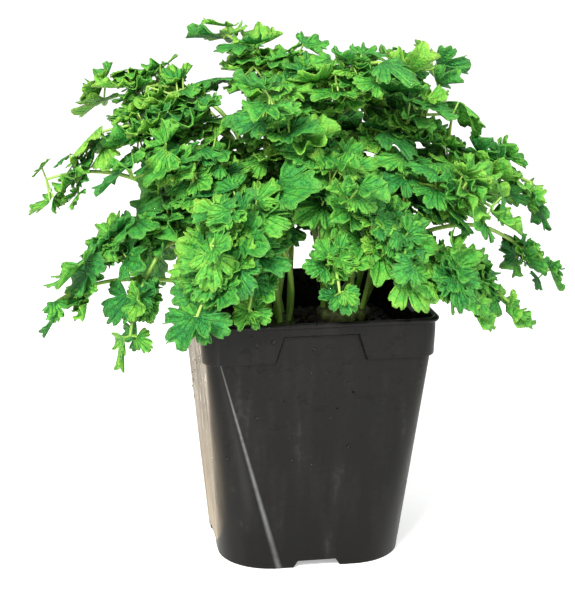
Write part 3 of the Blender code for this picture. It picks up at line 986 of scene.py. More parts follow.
def geometry_tree(name, inputs):
    tree = bpy.data.node_groups.new(name, "GeometryNodeTree")
    new_socket(tree, "Geometry", "NodeSocketGeometry", "INPUT")
    for label, kind, default in inputs:
        new_socket(tree, label, kind, "INPUT", default)
    new_socket(tree, "Geometry", "NodeSocketGeometry", "OUTPUT")
    return tree, tree.nodes.new("NodeGroupInput"), tree.nodes.new("NodeGroupOutput")


def used_socket(sockets, name):
    """The socket of that name that is in use: a node keeps one for each kind of value it can work on."""
    return next(socket for socket in sockets if socket.enabled and socket.name == name)


def random_vector(tree, low, high, seed):
    node = tree.nodes.new("FunctionNodeRandomValue")
    node.data_type = "FLOAT_VECTOR"
    for name, value in (("Min", low), ("Max", high), ("Seed", seed)):
        used_socket(node.inputs, name).default_value = value
    return used_socket(node.outputs, "Value")


def random_size(tree, given, seed):
    """A random number between the tree's Smallest and Largest inputs."""
    node = tree.nodes.new("FunctionNodeRandomValue")
    node.data_type = "FLOAT"
    node.inputs["Seed"].default_value = seed
    tree.links.new(given.outputs["Smallest"], used_socket(node.inputs, "Min"))
    tree.links.new(given.outputs["Largest"], used_socket(node.inputs, "Max"))
    return used_socket(node.outputs, "Value")


# %% The tree that scatters crumbs
def crumb_tree():
    tree, given, result = geometry_tree(
        "Soil crumbs",
        [
            ("Density", "NodeSocketFloat", 90000.0),
            ("Smallest", "NodeSocketFloat", 0.0006),
            ("Largest", "NodeSocketFloat", 0.0021),
            ("Material", "NodeSocketMaterial", None),
        ],
    )
    nodes, links = tree.nodes, tree.links
    scatter = nodes.new("GeometryNodeDistributePointsOnFaces")
    scatter.inputs["Seed"].default_value = 4
    lump = nodes.new("GeometryNodeMeshIcoSphere")
    lump.inputs["Radius"].default_value = 1.0
    lump.inputs["Subdivisions"].default_value = 1
    place = nodes.new("GeometryNodeInstanceOnPoints")
    real = nodes.new("GeometryNodeRealizeInstances")
    finish = nodes.new("GeometryNodeSetMaterial")
    links.new(given.outputs["Geometry"], scatter.inputs["Mesh"])
    links.new(given.outputs["Density"], scatter.inputs["Density"])
    links.new(scatter.outputs["Points"], place.inputs["Points"])
    links.new(lump.outputs["Mesh"], place.inputs["Instance"])
    links.new(random_vector(tree, (0, 0, 0), (6.28, 6.28, 6.28), 2), place.inputs["Rotation"])
    stretch = nodes.new("ShaderNodeVectorMath")
    stretch.operation = "SCALE"
    links.new(random_vector(tree, (0.6, 0.6, 0.5), (1.3, 1.3, 1.0), 5), stretch.inputs[0])
    links.new(random_size(tree, given, 7), stretch.inputs["Scale"])
    links.new(stretch.outputs["Vector"], place.inputs["Scale"])
    links.new(place.outputs["Instances"], real.inputs["Geometry"])
    links.new(real.outputs["Geometry"], finish.inputs["Geometry"])
    links.new(given.outputs["Material"], finish.inputs["Material"])
    links.new(finish.outputs["Geometry"], result.inputs["Geometry"])
    return tree


# %% Scatter the crumbs over the mound
CRUMB_MARGIN = 1.6 * MM  # kept free along the wall, so that no crumb's middle is in it


def soil_top():
    """A grid over the soil inside the wall, lifted to the mound's height."""
    bm = bmesh.new()
    half = wall_at(SOIL_EDGE, WALL)[0] - CRUMB_MARGIN
    bmesh.ops.create_grid(bm, x_segments=24, y_segments=24, size=half)
    for vert in bm.verts:
        vert.co.z = soil_height(vert.co.x, vert.co.y)
    return link("soil_crumbs", mesh_of(bm, "soil_crumbs"))


def build_crumbs():
    crumbs = soil_top()
    scatter = crumbs.modifiers.new("crumbs", "NODES")
    scatter.node_group = crumb_tree()
    set_input(scatter, "Material", SOIL)
    applied(crumbs)
    crumbs.data.shade_smooth()
    return crumbs


crumbs = build_crumbs()
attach(crumbs, "root")
soil = frame["nodes"]["soil"]
soil.material_slots[0].material = SOIL
print("crumb triangles:", len(crumbs.data.polygons))

# %% [markdown]
# ## The crowns
#
# A crown is where the stalks of one plant come together: a low swelling wrapped in the pale, overlapping
# bases of the stalks. It is a lathe shape whose radius swells and shrinks round it, once for each base.

# %% Build the crowns
# The side of a crown from its foot to its top: share of the radius, and height as a share of the crown's.
CROWN_PROFILE = (
    (0.80, -1.2),
    (0.96, -0.85),
    (1.0, -0.5),
    (0.97, -0.25),
    (0.88, -0.06),
    (0.70, 0.0),
    (0.40, 0.04),
)


def build_crown(name, ridges=14, steps=84):
    bm = bmesh.new()
    top = crown_top(name)
    rows = []
    for share, height in CROWN_PROFILE:
        row = []
        for step in range(steps):
            a = math.tau * step / steps
            swell = 1 + 0.05 * math.cos(ridges * a) - 0.02 * math.cos(5 * a)
            out = CROWN_RADIUS * share * swell
            row.append(top + Vector((out * math.cos(a), out * math.sin(a), CROWN_HEIGHT * height)))
        rows.append(row)
    loft(bm, rows)
    crown = link(f"crown_{name}_visual", mesh_of(bm, name))
    crown.data.shade_smooth()
    crown.data.materials.append(CROWN)
    return crown


for name in CROWNS:
    crown = build_crown(name)
    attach(crown, "root")
    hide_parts("crown_" + name)
    print(crown.name, len(crown.data.polygons), "faces")

# %% [markdown]
# ## The shapes of a leaflet
#
# A leaflet is a fan of rays from its base, in three lobes. Each fourth ray ends early in a notch between two
# rounded teeth, and the two rays between lobes end much earlier. Every ray bends along its length by an
# amount that rises and falls smoothly round the fan, and that is what makes the margin curl. Some shapes are
# nearly flat and others are tightly curled. There are ten shapes, and each leaf picks from them.

# %% One leaflet shape
TEETH = 10
TOOTH_RAYS = 4
RAYS = TEETH * TOOTH_RAYS
SINUSES = (3 * TOOTH_RAYS, 7 * TOOTH_RAYS)  # the rays between two lobes
RING_SHARES = (0.0, 0.44, 0.78, 1.0)
SHOULDERS = {0: 0.50, 1: 0.24, 2: 0.11, 3: 0.04}  # how much shorter the rays beside a gap between lobes are
TOOTH_NOTCHES = {0: 0.13, 2: 0.0}  # the same for the rays of a tooth: its first one and its middle one
TOOTH_FLANK = 0.015  # and for its other two
BLADE_SKIN = 0.020  # a leaflet's thickness, as a share of its length
SHAPES = [  # half the fan's spread in degrees, bend of the whole, frill of the margin, curl of the lobes
    (96, 0.05, 0.12, 0.08),
    (104, 0.22, 0.17, 0.10),
    (92, -0.22, 0.17, 0.10),
    (108, 0.40, 0.22, 0.10),
    (100, -0.45, 0.22, 0.10),
    (112, 0.60, 0.30, 0.12),
    (102, 0.32, 0.38, 0.14),
    (114, -0.70, 0.34, 0.08),
    (106, 0.15, 0.48, 0.14),
    (118, 0.85, 0.44, 0.10),
]


def notch_depth(ray):
    """How much shorter this ray is than the lobe round it: deepest between lobes, with round shoulders."""
    from_gap = min(abs(ray - gap) for gap in (0, *SINUSES, RAYS))
    shoulder = SHOULDERS.get(from_gap, 0.0)
    tooth = TOOTH_NOTCHES.get(ray % TOOTH_RAYS, TOOTH_FLANK)
    return max(shoulder, shoulder * 0.7 + tooth)


def leaflet_shape(number, spread, bend, ruffle, curl):
    """One leaflet a metre long, lying along X from its base at the origin, with its face upwards."""
    chance = random.Random(40 + number)
    bm = bmesh.new()
    ray_layer = bm.verts.layers.float.new("ray")
    rim_layer = bm.verts.layers.float.new("rim")
    base = bm.verts.new((0, 0, 0))
    base[ray_layer] = TEETH / 2
    phase = chance.uniform(0, math.tau)
    grid = []
    for ray in range(RAYS + 1):
        wave = math.tau * ray / 8.0 + phase
        angle = math.radians(spread) * (2 * ray / RAYS - 1) + 0.05 * ruffle * math.cos(wave)
        in_lobe = math.cos(math.tau * (ray / RAYS * 3 - 0.5))
        reach = (0.86 + 0.14 * math.cos(angle * 1.9)) * (1 + chance.uniform(-0.025, 0.025))
        depth = notch_depth(ray)
        lean_out = bend - curl * in_lobe * 0.6 + chance.uniform(-0.04, 0.04)
        frill = ruffle * math.sin(wave)
        along, height = 0.0, 0.0
        column = []
        for before, share in zip(RING_SHARES, RING_SHARES[1:]):
            step = reach * (share - before) * (1 - depth)
            lean = lean_out * share**1.3 + frill * share**2.5
            along += step * math.cos(lean)
            height += step * math.sin(lean)
            vert = bm.verts.new((along * math.cos(angle), along * math.sin(angle), height))
            vert[ray_layer] = ray / TOOTH_RAYS
            vert[rim_layer] = share
            column.append(vert)
        grid.append(column)
    for left, right in zip(grid, grid[1:]):
        bm.faces.new((base, left[0], right[0]))
        for i in range(len(left) - 1):
            bm.faces.new((left[i], left[i + 1], right[i + 1], right[i]))
    mesh = bpy.data.meshes.new(f"leaflet_shape_{number}")
    bm.to_mesh(mesh)
    bm.free()
    mesh.shade_smooth()
    shape = bpy.data.objects.new(mesh.name, mesh)
    skin = shape.modifiers.new("thickness", "SOLIDIFY")
    skin.thickness = BLADE_SKIN
    skin.offset = 0.0
    return shape


shapes = bpy.data.collections.new("leaflet_shapes")
for number, settings in enumerate(SHAPES):
    shapes.objects.link(leaflet_shape(number, *settings))

# %% [markdown]
# ## A whole leaf
#
# One tree makes every leaf. Its points say where the leaflets sit, and carry each one's turn, size, shape
# number and tone, which is random variation plus painted shade by height. Its stems are curves: the stalk
# that runs on as the midrib, the ribs that leave it, and on a full leaf two side branches. The curves become
# ridged tubes whose radius follows the curve's own, and the leaflets are instances picked from the shapes.
# The tree ends by making the instances real. Bending each leaflet by hand would take over a thousand
# shapes, and ten shapes turned and sized differently look as rich.

# %% The tree that makes a leaf
def leaf_tree():
    tree, given, result = geometry_tree(
        "Parsley leaf",
        [
            ("Shapes", "NodeSocketCollection", None),
            ("Stems", "NodeSocketObject", None),
            ("Ridges", "NodeSocketInt", 7),
            ("Leaf material", "NodeSocketMaterial", None),
            ("Stem material", "NodeSocketMaterial", None),
        ],
    )
    nodes, links = tree.nodes, tree.links

    def attribute(name, kind):
        node = nodes.new("GeometryNodeInputNamedAttribute")
        node.data_type = kind
        node.inputs["Name"].default_value = name
        return used_socket(node.outputs, "Attribute")

    picked = nodes.new("GeometryNodeCollectionInfo")
    picked.inputs["Separate Children"].default_value = True
    picked.inputs["Reset Children"].default_value = True
    place = nodes.new("GeometryNodeInstanceOnPoints")
    place.inputs["Pick Instance"].default_value = True
    real = nodes.new("GeometryNodeRealizeInstances")
    green = nodes.new("GeometryNodeSetMaterial")
    links.new(given.outputs["Shapes"], picked.inputs["Collection"])
    links.new(given.outputs["Geometry"], place.inputs["Points"])
    links.new(picked.outputs["Instances"], place.inputs["Instance"])
    links.new(attribute("shape", "INT"), place.inputs["Instance Index"])
    links.new(attribute("turn", "FLOAT_VECTOR"), place.inputs["Rotation"])
    links.new(attribute("size", "FLOAT_VECTOR"), place.inputs["Scale"])
    links.new(place.outputs["Instances"], real.inputs["Geometry"])
    links.new(real.outputs["Geometry"], green.inputs["Geometry"])
    links.new(given.outputs["Leaf material"], green.inputs["Material"])
    stems = nodes.new("GeometryNodeObjectInfo")
    profile = nodes.new("GeometryNodeCurveStar")
    profile.inputs["Inner Radius"].default_value = 0.93
    profile.inputs["Outer Radius"].default_value = 1.03
    sweep = nodes.new("GeometryNodeCurveToMesh")
    sweep.inputs["Fill Caps"].default_value = True
    smooth = nodes.new("GeometryNodeSetShadeSmooth")
    pale = nodes.new("GeometryNodeSetMaterial")
    links.new(given.outputs["Stems"], stems.inputs["Object"])
    links.new(stems.outputs["Geometry"], sweep.inputs["Curve"])
    radius = nodes.new("GeometryNodeInputRadius").outputs["Radius"]
    links.new(radius, sweep.inputs["Scale"])  # the sweep ignores the curve's radius unless it is told
    links.new(given.outputs["Ridges"], profile.inputs["Points"])
    links.new(profile.outputs["Curve"], sweep.inputs["Profile Curve"])
    links.new(sweep.outputs["Mesh"], smooth.inputs["Geometry"])
    links.new(smooth.outputs["Geometry"], pale.inputs["Geometry"])
    links.new(given.outputs["Stem material"], pale.inputs["Material"])
    both = nodes.new("GeometryNodeJoinGeometry")
    links.new(pale.outputs["Geometry"], both.inputs["Geometry"])
    links.new(green.outputs["Geometry"], both.inputs["Geometry"])
    links.new(both.outputs["Geometry"], result.inputs["Geometry"])
    return tree


LEAF_TREE = leaf_tree()
print("tree:", LEAF_TREE.name)


# %% Where a leaf's leaflets and ribs go
SIDE_SHARE = 0.74  # a side leaflet's length, as a share of the leaflet at its rib's end
SIDE_TURN = 74  # how far a side leaflet turns away from its rib
STRAY_TURN = 28  # the most that any leaflet strays from its heading
LENGTH_SHARE = 0.94  # a leaflet's length, as a share of the pad it stands for
LARGEST_PAD = 0.28  # no leaflet is made larger than this share of the blade's length
RIB_PAIRS = (0.95, 0.55, 0.15)  # where pairs of leaflets sit along a rib
TIP_PAIRS = (0.9,)  # the same on the tip's short rib
EXTRA_RIB = (0.29, 60, 0.13, 0.26)  # a pair of ribs more on a full blade, given as in KINDS
LIFT = 14 * MM  # the most that a leaflet's own short stem lifts it off the blade's surface
LEAST_LIFT = 0.35  # the share of that lift which is left at the foot and at the top of the foliage
FOLIAGE_FOOT, FOOT_FADE = 0.100, 0.070  # where the foliage starts, and the height over which lift grows
FOLIAGE_TOP, TOP_FADE = 0.240, 0.045  # where it ends, and the height over which lift shrinks
TIP_RIB = 0.02  # the short rib that carries the tip leaflet
DOME_MIDDLE = Vector((0, 0, 0.10))  # leaflets face away from here
FLATTEN = 0.55  # the share of the way up that counts, so that the upper ones lean outwards too


def sprays(kind):
    """Each rib as (where it leaves the midrib, heading, length, leaflet length), the tip's short one last."""
    pairs, (tip, tip_size) = KINDS[kind]
    pairs = pairs + [EXTRA_RIB] if kind == "full" else pairs
    ribs = [(along, side * heading, rib, size) for along, heading, rib, size in pairs for side in (-1, 1)]
    return ribs + [(tip, 0, TIP_RIB, tip_size)]


print("ribs of a full leaf:", len(sprays("full")))


# %% Which way a leaflet faces
def facing_out(local, chance):
    """The leaflet's frame turned so that its face looks out of the plant and up, towards the light."""
    place = local.translation
    out = place - DOME_MIDDLE
    out.z *= FLATTEN
    out.normalize()
    stray = Vector([chance.uniform(-1, 1) for _ in range(3)])
    face = local.col[2].to_3d() * 0.20 + out * 0.90 + Vector((0, 0, 0.30)) + stray * 0.44
    face = face.normalized()
    along = local.col[0].to_3d()
    along = (along - face * along.dot(face) * 0.8).normalized()
    side = face.cross(along).normalized()
    return Matrix((along, side, along.cross(side))).transposed()


# %% Places of one leaf's leaflets
def lift_at(height):
    """The most that a leaflet is lifted at this height: less near the foot and the top of the foliage."""
    above = max(LEAST_LIFT, (height - FOLIAGE_FOOT) / FOOT_FADE)
    below = max(LEAST_LIFT, (FOLIAGE_TOP - height) / TOP_FADE)
    return LIFT * min(1.0, above, below)


def leaf_places(leaf, frame_at_base, chance):
    """Each leaflet as (place, turned frame, length), and each rib or short stem as two ends."""
    kind, length = leaf[0], leaf[-1]
    leaflets, ribs, stalklets = [], [], []
    for along, heading, rib, size in sprays(kind):
        turn = math.radians(heading)
        ray = Vector((math.cos(turn), math.sin(turn)))
        root, end = Vector((along, 0)), Vector((along, 0)) + ray * rib
        ribs.append((root, end))
        size = min(size, LARGEST_PAD)
        wanted = [(end, heading, size)]
        for share in RIB_PAIRS if rib > TIP_RIB else TIP_PAIRS:
            middle = root + ray * rib * share
            wanted += [(middle, heading + side * SIDE_TURN, size * SIDE_SHARE) for side in (-1, 1)]
        for place, direction, share in wanted:
            local = on_blade(frame_at_base, length, place.x, place.y)
            turned = math.radians(direction + chance.uniform(-STRAY_TURN, STRAY_TURN))
            local = local @ Matrix.Rotation(turned, 4, "Z")
            start = local.translation.copy()
            lift = lift_at(start.z)
            lifted = start + local.col[2].to_3d() * chance.uniform(-1.0, 0.7) * lift
            lifted = lifted + local.col[0].to_3d() * 0.15 * lift
            stalklets.append((start, lifted))
            local.translation = lifted
            face = facing_out(local, chance)
            leaflets.append((lifted, face, share * length * chance.uniform(0.8, 1.1) * LENGTH_SHARE))
    return leaflets, ribs, stalklets


# %% [markdown]
# ## Branches and stems
#
# A full leaf's stalk divides in three. The middle part runs on as the midrib, and a thin branch on each side
# rises in a bend of its own, with small leaflets along it. Those leaflets fill the inside of the plant. The
# branches and all the stems are curves, so that one swept profile makes them all.

# %% Side branches of a full leaf's stalk
STALK_STEPS = 18
BRANCH_STEP = 9  # the step of the stalk's line at which the branches leave it
BRANCH_STEPS = 8
BRANCH_BEND = 0.55  # how far a branch first follows the stalk, as a share of the way to its end
BRANCH_PAIRS = (2, 4, 6)  # the steps of a branch that carry a pair of leaflets
BRANCH_LEAFLET = 0.20  # a leaflet on a branch, as a share of the blade's length


def branch_lines(leaf, trunk, frame_at_base, ribs):
    """A full leaf's stalk divides in three: each side branch bends from the stalk to the end of a low rib."""
    if leaf[0] != "full":
        return []
    root, onward = trunk[BRANCH_STEP], (trunk[BRANCH_STEP + 1] - trunk[BRANCH_STEP]).normalized()
    lines = []
    for _, end in ribs[-3:-1]:
        tip = on_blade(frame_at_base, leaf[-1], *end).translation
        middle = root + onward * (tip - root).length * BRANCH_BEND
        line = []
        for step in range(BRANCH_STEPS + 1):
            share = step / BRANCH_STEPS
            line.append(root.lerp(middle, share).lerp(middle.lerp(tip, share), share))
        lines.append(line)
    return lines


def branch_leaflets(leaf, frame_at_base, lines, chance):
    """Pairs of leaflets along each side branch."""
    leaflets = []
    for line in lines:
        for step in BRANCH_PAIRS:
            point = line[step]
            for side in (-1, 1):
                local = frame_at_base @ Matrix.Rotation(math.radians(side * SIDE_TURN), 4, "Z")
                local.translation = point
                size = BRANCH_LEAFLET * leaf[-1] * chance.uniform(0.8, 1.1)
                leaflets.append((point, facing_out(local, chance), size))
    return leaflets


# %% Stems of one leaf
MIDRIB_RADIUS = 0.0007
RIB_TIP_RADIUS = 0.0004
MIDRIB_STEPS, RIB_STEPS = 8, 4


def add_stem(curve, points, start_radius, end_radius):
    spline = curve.splines.new("POLY")
    spline.points.add(len(points) - 1)
    for i, (target, point) in enumerate(zip(spline.points, points)):
        share = i / (len(points) - 1)
        target.co = (*point, 1.0)
        target.radius = start_radius + (end_radius - start_radius) * share


def build_stems(leaf, trunk, frame_at_base, ribs, branches, stalklets):
    kind, length = leaf[0], leaf[-1]
    curve = bpy.data.curves.new("stems", "CURVE")
    curve.dimensions = "3D"
    add_stem(curve, trunk, STALK_RADIUS * 0.86, STALK_TIP_RADIUS)
    for line in branches:
        add_stem(curve, line, STALK_TIP_RADIUS * 0.9, RIB_TIP_RADIUS)
    tip = KINDS[kind][1][0] + TIP_RIB
    line = []
    for step in range(MIDRIB_STEPS + 1):
        line.append(on_blade(frame_at_base, length, tip * step / MIDRIB_STEPS, 0).translation)
    add_stem(curve, line, STALK_TIP_RADIUS, MIDRIB_RADIUS * 0.8)
    for root, end in ribs[:-1]:
        line = []
        for step in range(RIB_STEPS + 1):
            place = root.lerp(end, step / RIB_STEPS)
            line.append(on_blade(frame_at_base, length, place.x, place.y).translation)
        add_stem(curve, line, MIDRIB_RADIUS, RIB_TIP_RADIUS)
    for low, high in stalklets:
        add_stem(curve, [low, low.lerp(high, 0.5), high], RIB_TIP_RADIUS, RIB_TIP_RADIUS)
    return link("stems", curve)


# %% Build every leaf
LOW_SHADE_TONE, PAINTED_LIGHT_RISE = 0.31, 0.35  # tone of the lowest leaves, darkest in painted shade, and how much paler painted light makes the highest
TONE_STRAY = 0.22
MOST_LIT_HEIGHT = 0.22  # height at which a leaf gets the most painted light, the palest tone


def point_mesh(name, leaflets, tone, chance):
    """A point for each leaflet, with its turn, size, shape number and tone with painted shade as attributes.
    """
    mesh = bpy.data.meshes.new(name)
    mesh.from_pydata([place for place, _, _ in leaflets], [], [])
    turns, sizes = [], []
    for _, turned, size in leaflets:
        turns += list(turned.to_euler())
        sizes += [size, size * chance.uniform(0.9, 1.15), size * chance.uniform(0.8, 1.2)]
    mesh.attributes.new("turn", "FLOAT_VECTOR", "POINT").data.foreach_set("vector", turns)
    mesh.attributes.new("size", "FLOAT_VECTOR", "POINT").data.foreach_set("vector", sizes)
    picks = [chance.randrange(len(SHAPES)) for _ in leaflets]
    mesh.attributes.new("shape", "INT", "POINT").data.foreach_set("value", picks)
    tones_and_shades = [min(1.0, max(0.0, tone + chance.uniform(-TONE_STRAY, TONE_STRAY))) for _ in leaflets]
    mesh.attributes.new("tone", "FLOAT", "POINT").data.foreach_set("value", tones_and_shades)
    return mesh


def build_leaf(number, leaf, start, frame_at_base, bow):
    chance = random.Random(100 + number)
    leaflets, ribs, stalklets = leaf_places(leaf, frame_at_base, chance)
    trunk = stalk_line(start, frame_at_base.translation, frame_at_base, bow, STALK_STEPS)
    branches = branch_lines(leaf, trunk, frame_at_base, ribs)
    leaflets += branch_leaflets(leaf, frame_at_base, branches, chance)
    stems = build_stems(leaf, trunk, frame_at_base, ribs, branches, stalklets)
    # Painted shade: a leaf's tone is darker the lower it sits and paler the higher, as light falls on the
    # plant.
    height = frame_at_base.translation.z / MOST_LIT_HEIGHT
    name = f"parsley_leaf_{number:02d}"
    piece = link(name, point_mesh(name, leaflets, LOW_SHADE_TONE + PAINTED_LIGHT_RISE * height, chance))
    grow = piece.modifiers.new("leaf", "NODES")
    grow.node_group = LEAF_TREE
    set_input(grow, "Shapes", shapes)
    set_input(grow, "Stems", stems)
    set_input(grow, "Leaf material", LEAF)
    set_input(grow, "Stem material", STALK)
    bpy.context.view_layer.update()
    applied(piece)
    remove(stems)
    return piece


leaf_faces = 0
for number, (leaf, start, frame_at_base, bow) in enumerate(layout, 1):
    piece = build_leaf(number, leaf, start, frame_at_base, bow)
    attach(piece, "root")
    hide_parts(f"leaf_{number:02d}", f"stalk_{number:02d}")
    leaf_faces += len(piece.data.polygons)
remove(*list(shapes.objects))
bpy.data.collections.remove(shapes)
print("leaf faces:", leaf_faces)

# %% [markdown]
# ## Water drops
#
# The plant has just been watered, so small drops sit on the leaves and on the pot. Another tree scatters
# them: points on the faces that look up and out, and a low dome on each, turned so that it sits on its
# surface. Each dome has only twenty faces, because there are thousands and a drop is under a millimetre.

# %% The tree that scatters drops
def drop_tree():
    tree, given, result = geometry_tree(
        "Water drops",
        [
            ("Density", "NodeSocketFloat", 5000.0),
            ("Smallest", "NodeSocketFloat", 0.00018),
            ("Largest", "NodeSocketFloat", 0.00055),
            ("Seed", "NodeSocketInt", 3),
            ("Material", "NodeSocketMaterial", None),
        ],
    )
    nodes, links = tree.nodes, tree.links
    scatter = nodes.new("GeometryNodeDistributePointsOnFaces")
    dome = nodes.new("GeometryNodeMeshIcoSphere")
    dome.inputs["Radius"].default_value = 1.0
    dome.inputs["Subdivisions"].default_value = 1
    flat = nodes.new("GeometryNodeTransform")
    flat.inputs["Scale"].default_value = (1.0, 1.0, 0.6)
    place = nodes.new("GeometryNodeInstanceOnPoints")
    real = nodes.new("GeometryNodeRealizeInstances")
    smooth = nodes.new("GeometryNodeSetShadeSmooth")
    finish = nodes.new("GeometryNodeSetMaterial")
    links.new(given.outputs["Geometry"], scatter.inputs["Mesh"])
    links.new(given.outputs["Density"], scatter.inputs["Density"])
    links.new(given.outputs["Seed"], scatter.inputs["Seed"])
    links.new(scatter.outputs["Points"], place.inputs["Points"])
    links.new(scatter.outputs["Rotation"], place.inputs["Rotation"])
    links.new(dome.outputs["Mesh"], flat.inputs["Geometry"])
    links.new(flat.outputs["Geometry"], place.inputs["Instance"])
    links.new(random_size(tree, given, 0), place.inputs["Scale"])
    links.new(place.outputs["Instances"], real.inputs["Geometry"])
    links.new(real.outputs["Geometry"], smooth.inputs["Geometry"])
    links.new(smooth.outputs["Geometry"], finish.inputs["Geometry"])
    links.new(given.outputs["Material"], finish.inputs["Material"])
    links.new(finish.outputs["Geometry"], result.inputs["Geometry"])
    return tree


DROP_TREE = drop_tree()
print("tree:", DROP_TREE.name)


# %% [markdown]
# ### Water
#
# A drop is clear, bends what lies behind it and has a sharp highlight. Clear glass with water's index of
# refraction does all three. It is a little cloudy at random, so that the drops differ.

# %% Water material
def water_material():
    made = Recipe("water")
    mottling = made.mottle(200.0, 900.0, 0.3)
    made.colour(made.ramp(mottling, [(0.3, (0.80, 0.88, 0.82)), (0.7, (0.97, 0.99, 0.97))]))
    made.roughness(made.spread(mottling, 0.3, 0.7, 0.02, 0.08))
    made.shader.inputs["IOR"].default_value = 1.33
    made.shader.inputs["Transmission Weight"].default_value = 1.0
    return made.material


WATER = water_material()
print("made", WATER.name)


# %% Scatter the drops
def wet_faces(name, sources, wanted):
    """A copy of the faces that wanted(centre, normal) keeps, to scatter drops on."""
    bm = bmesh.new()
    for obj in sources:
        bm.from_mesh(obj.data)
    dry = [face for face in bm.faces if not wanted(face.calc_center_median(), face.normal)]
    bmesh.ops.delete(bm, geom=dry, context="FACES")
    mesh = bpy.data.meshes.new(name)
    bm.to_mesh(mesh)
    bm.free()
    return link(name, mesh)


def build_drops(name, sources, wanted, **settings):
    drops = wet_faces(name, sources, wanted)
    scatter = drops.modifiers.new("drops", "NODES")
    scatter.node_group = DROP_TREE
    set_input(scatter, "Material", WATER)
    for label, value in settings.items():
        set_input(scatter, label, value)
    bpy.context.view_layer.update()
    applied(drops)
    return drops


OUTWARD_PULL = 6  # how much a leaf's distance from the middle counts beside facing up, per metre
FACING = 0.35  # how squarely a leaf's face has to look up and out to hold a drop
SPLASH_FOOT, SPLASH_RIGHT = 0.045, 0.015  # the wet part of the pot: above this height, left of this line


def on_leaf(centre, normal):
    outwards = Vector((centre.x, centre.y, 0.0)) * OUTWARD_PULL + Vector((0, 0, 1))
    return normal.dot(outwards) > FACING


def on_pot(centre, normal):
    """The outside of the front and of the left side, in the upper half and towards the left."""
    outside = max(abs(centre.x), abs(centre.y)) > 0.036 and normal.z < 0.6
    front_or_left = normal.y < -0.5 or normal.x < -0.5
    return outside and front_or_left and centre.z > SPLASH_FOOT and centre.x < SPLASH_RIGHT


leaf_pieces = [obj for obj in bpy.data.objects if obj.name.startswith("parsley_leaf_")]
leaf_drops = build_drops("leaf_drops", leaf_pieces, on_leaf, Density=9000.0)
pot_drops = build_drops("pot_drops", [pot], on_pot, Density=6500.0, Smallest=0.0002, Largest=0.0010)
for drops, slot in ((leaf_drops, "leaf_green"), (pot_drops, "black_plastic")):
    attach(drops, "root")
    print(drops.name, len(drops.data.polygons), "faces")

# %% [markdown]
# ## Floor, light and camera
#
# The plant stands on a pale floor in a bright room. A large soft light high in front on the left shapes the
# leaves, a second one on the right fills, and a bright sky lifts the shadows. Black plastic shows mostly what
# it mirrors, so two glowing cards lie on the floor where only the plastic sees them: a warm one for the left
# side, and a narrow white one for the line of light on the corner.

# %% Floor and sky
FLOOR_HALF = 4.0
FLOOR_GLOW = 0.40  # lifts the floor to white where it is looked at, without lighting the plant


def build_floor():
    bm = bmesh.new()
    bmesh.ops.create_grid(bm, x_segments=1, y_segments=1, size=FLOOR_HALF)
    floor = link("floor", mesh_of(bm, "floor"))
    made = Recipe("pale_floor")
    made.shader.inputs["Base Color"].default_value = (0.93, 0.93, 0.92, 1.0)
    made.shader.inputs["Emission Color"].default_value = (1.0, 1.0, 1.0, 1.0)
    seen = made.nodes.new("ShaderNodeLightPath").outputs["Is Camera Ray"]
    made.join(made.math("MULTIPLY", seen, FLOOR_GLOW), made.shader.inputs["Emission Strength"])
    made.roughness(0.9)
    floor.data.materials.append(made.material)
    return floor


def build_sky(seen=1.0, shining=0.72):
    """White behind the plant, and a little dimmer as a light, so that the leaves keep their shadows."""
    world = bpy.data.worlds.new("bright_room")
    bpy.context.scene.world = world
    world.use_nodes = True
    nodes, links = world.node_tree.nodes, world.node_tree.links
    sky = nodes["Background"]
    sky.inputs["Color"].default_value = (1.0, 1.0, 1.0, 1.0)
    strength = nodes.new("ShaderNodeMapRange")
    strength.inputs["To Min"].default_value = shining
    strength.inputs["To Max"].default_value = seen
    links.new(nodes.new("ShaderNodeLightPath").outputs["Is Camera Ray"], strength.inputs["Value"])
    links.new(strength.outputs["Result"], sky.inputs["Strength"])


floor = build_floor()
build_sky()
bpy.context.scene.view_settings.view_transform = "Standard"
print("floor and sky ready")


# %% Lights
def add_light(name, place, aim, size, power, colour):
    lamp = bpy.data.lights.new(name, "AREA")
    lamp.shape = "RECTANGLE"
    lamp.size, lamp.size_y = size
    lamp.energy = power
    lamp.color = colour
    obj = link(name, lamp)
    obj.location = place
    obj.rotation_euler = (Vector(aim) - Vector(place)).to_track_quat("-Z", "Y").to_euler()
    return obj


KEY_PLACE, KEY_AIM = (-0.45, -0.85, 0.90), (0, 0, 0.15)
FILL_PLACE, FILL_AIM = (0.80, -0.60, 0.45), (0, 0, 0.12)
add_light("key", KEY_PLACE, KEY_AIM, size=(0.35, 0.35), power=22.0, colour=(1.0, 0.98, 0.94))
add_light("fill", FILL_PLACE, FILL_AIM, size=(0.6, 0.6), power=4.0, colour=(0.95, 0.98, 1.0))


# %% Cards that only the plastic mirrors
CARD_HEIGHT = 0.002  # above the floor


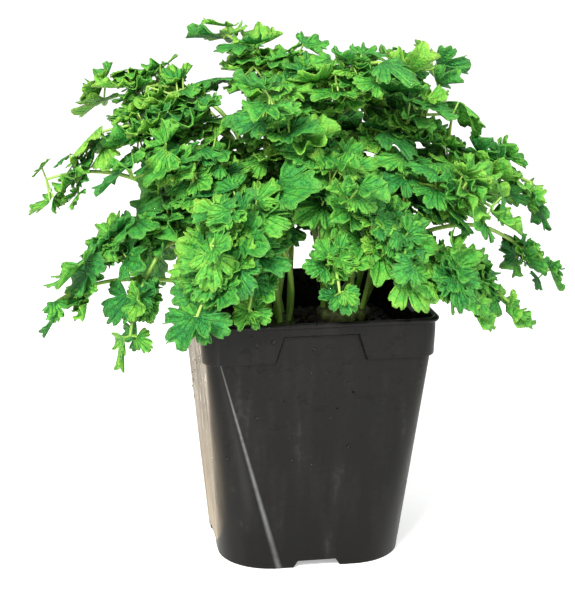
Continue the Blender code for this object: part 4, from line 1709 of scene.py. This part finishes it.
def add_card(name, start, end, width, glow, colour):
    """A glowing strip that lies on the floor from start to end and is seen only in shiny surfaces."""
    run = Vector((end[0] - start[0], end[1] - start[1], 0))
    middle = Vector(((start[0] + end[0]) / 2, (start[1] + end[1]) / 2, CARD_HEIGHT))
    power = glow * math.pi * width * run.length
    card = add_light(name, middle, middle + Vector((0, 0, 1)), (width, run.length), power, colour)
    turn = math.atan2(run.y, run.x) - math.pi / 2
    card.rotation_euler = (Matrix.Rotation(turn, 4, "Z") @ Matrix.Rotation(math.pi, 4, "Y")).to_euler()
    card.visible_camera = False
    card.visible_diffuse = False
    return card


add_card("warm_card", (-0.10, -0.02), (-0.22, 0.55), width=0.16, glow=1.6, colour=(1.0, 0.76, 0.45))
add_card("strip_card", (-0.050, -0.07), (-0.090, -0.30), width=0.020, glow=4.0, colour=(1.0, 1.0, 1.0))
print("lights ready")

# %% [markdown]
# The camera stands in front and a little to the left, slightly above the rim. A long lens from 0.7 metres
# keeps the pot's edges nearly parallel, as a picture of a product does, and the whole plant fits the frame.

# %% Camera
AZIMUTH, ELEVATION = math.radians(-9.59), math.radians(14.2)
DISTANCE = 0.700
LENS = 97.07
AIM_HEIGHT, AIM_SIDE = 0.1073, -0.0059
SENSOR_WIDTH = 36.0


def build_camera():
    """A camera that looks down a little at the middle of the plant, from in front and slightly left."""
    level = math.cos(ELEVATION)
    back = Vector((math.sin(AZIMUTH) * level, -math.cos(AZIMUTH) * level, math.sin(ELEVATION)))
    right = Vector((math.cos(AZIMUTH), math.sin(AZIMUTH), 0))
    target = Vector((0, 0, AIM_HEIGHT)) + right * AIM_SIDE
    data = bpy.data.cameras.new("camera")
    data.lens = LENS
    data.sensor_width = SENSOR_WIDTH
    data.sensor_fit = "AUTO"
    camera = link("camera", data)
    camera.location = target + back * DISTANCE
    camera.rotation_euler = (-back).to_track_quat("-Z", "Y").to_euler()
    return camera


bpy.context.scene.camera = build_camera()
print("camera at", [round(x, 3) for x in bpy.context.scene.camera.location])
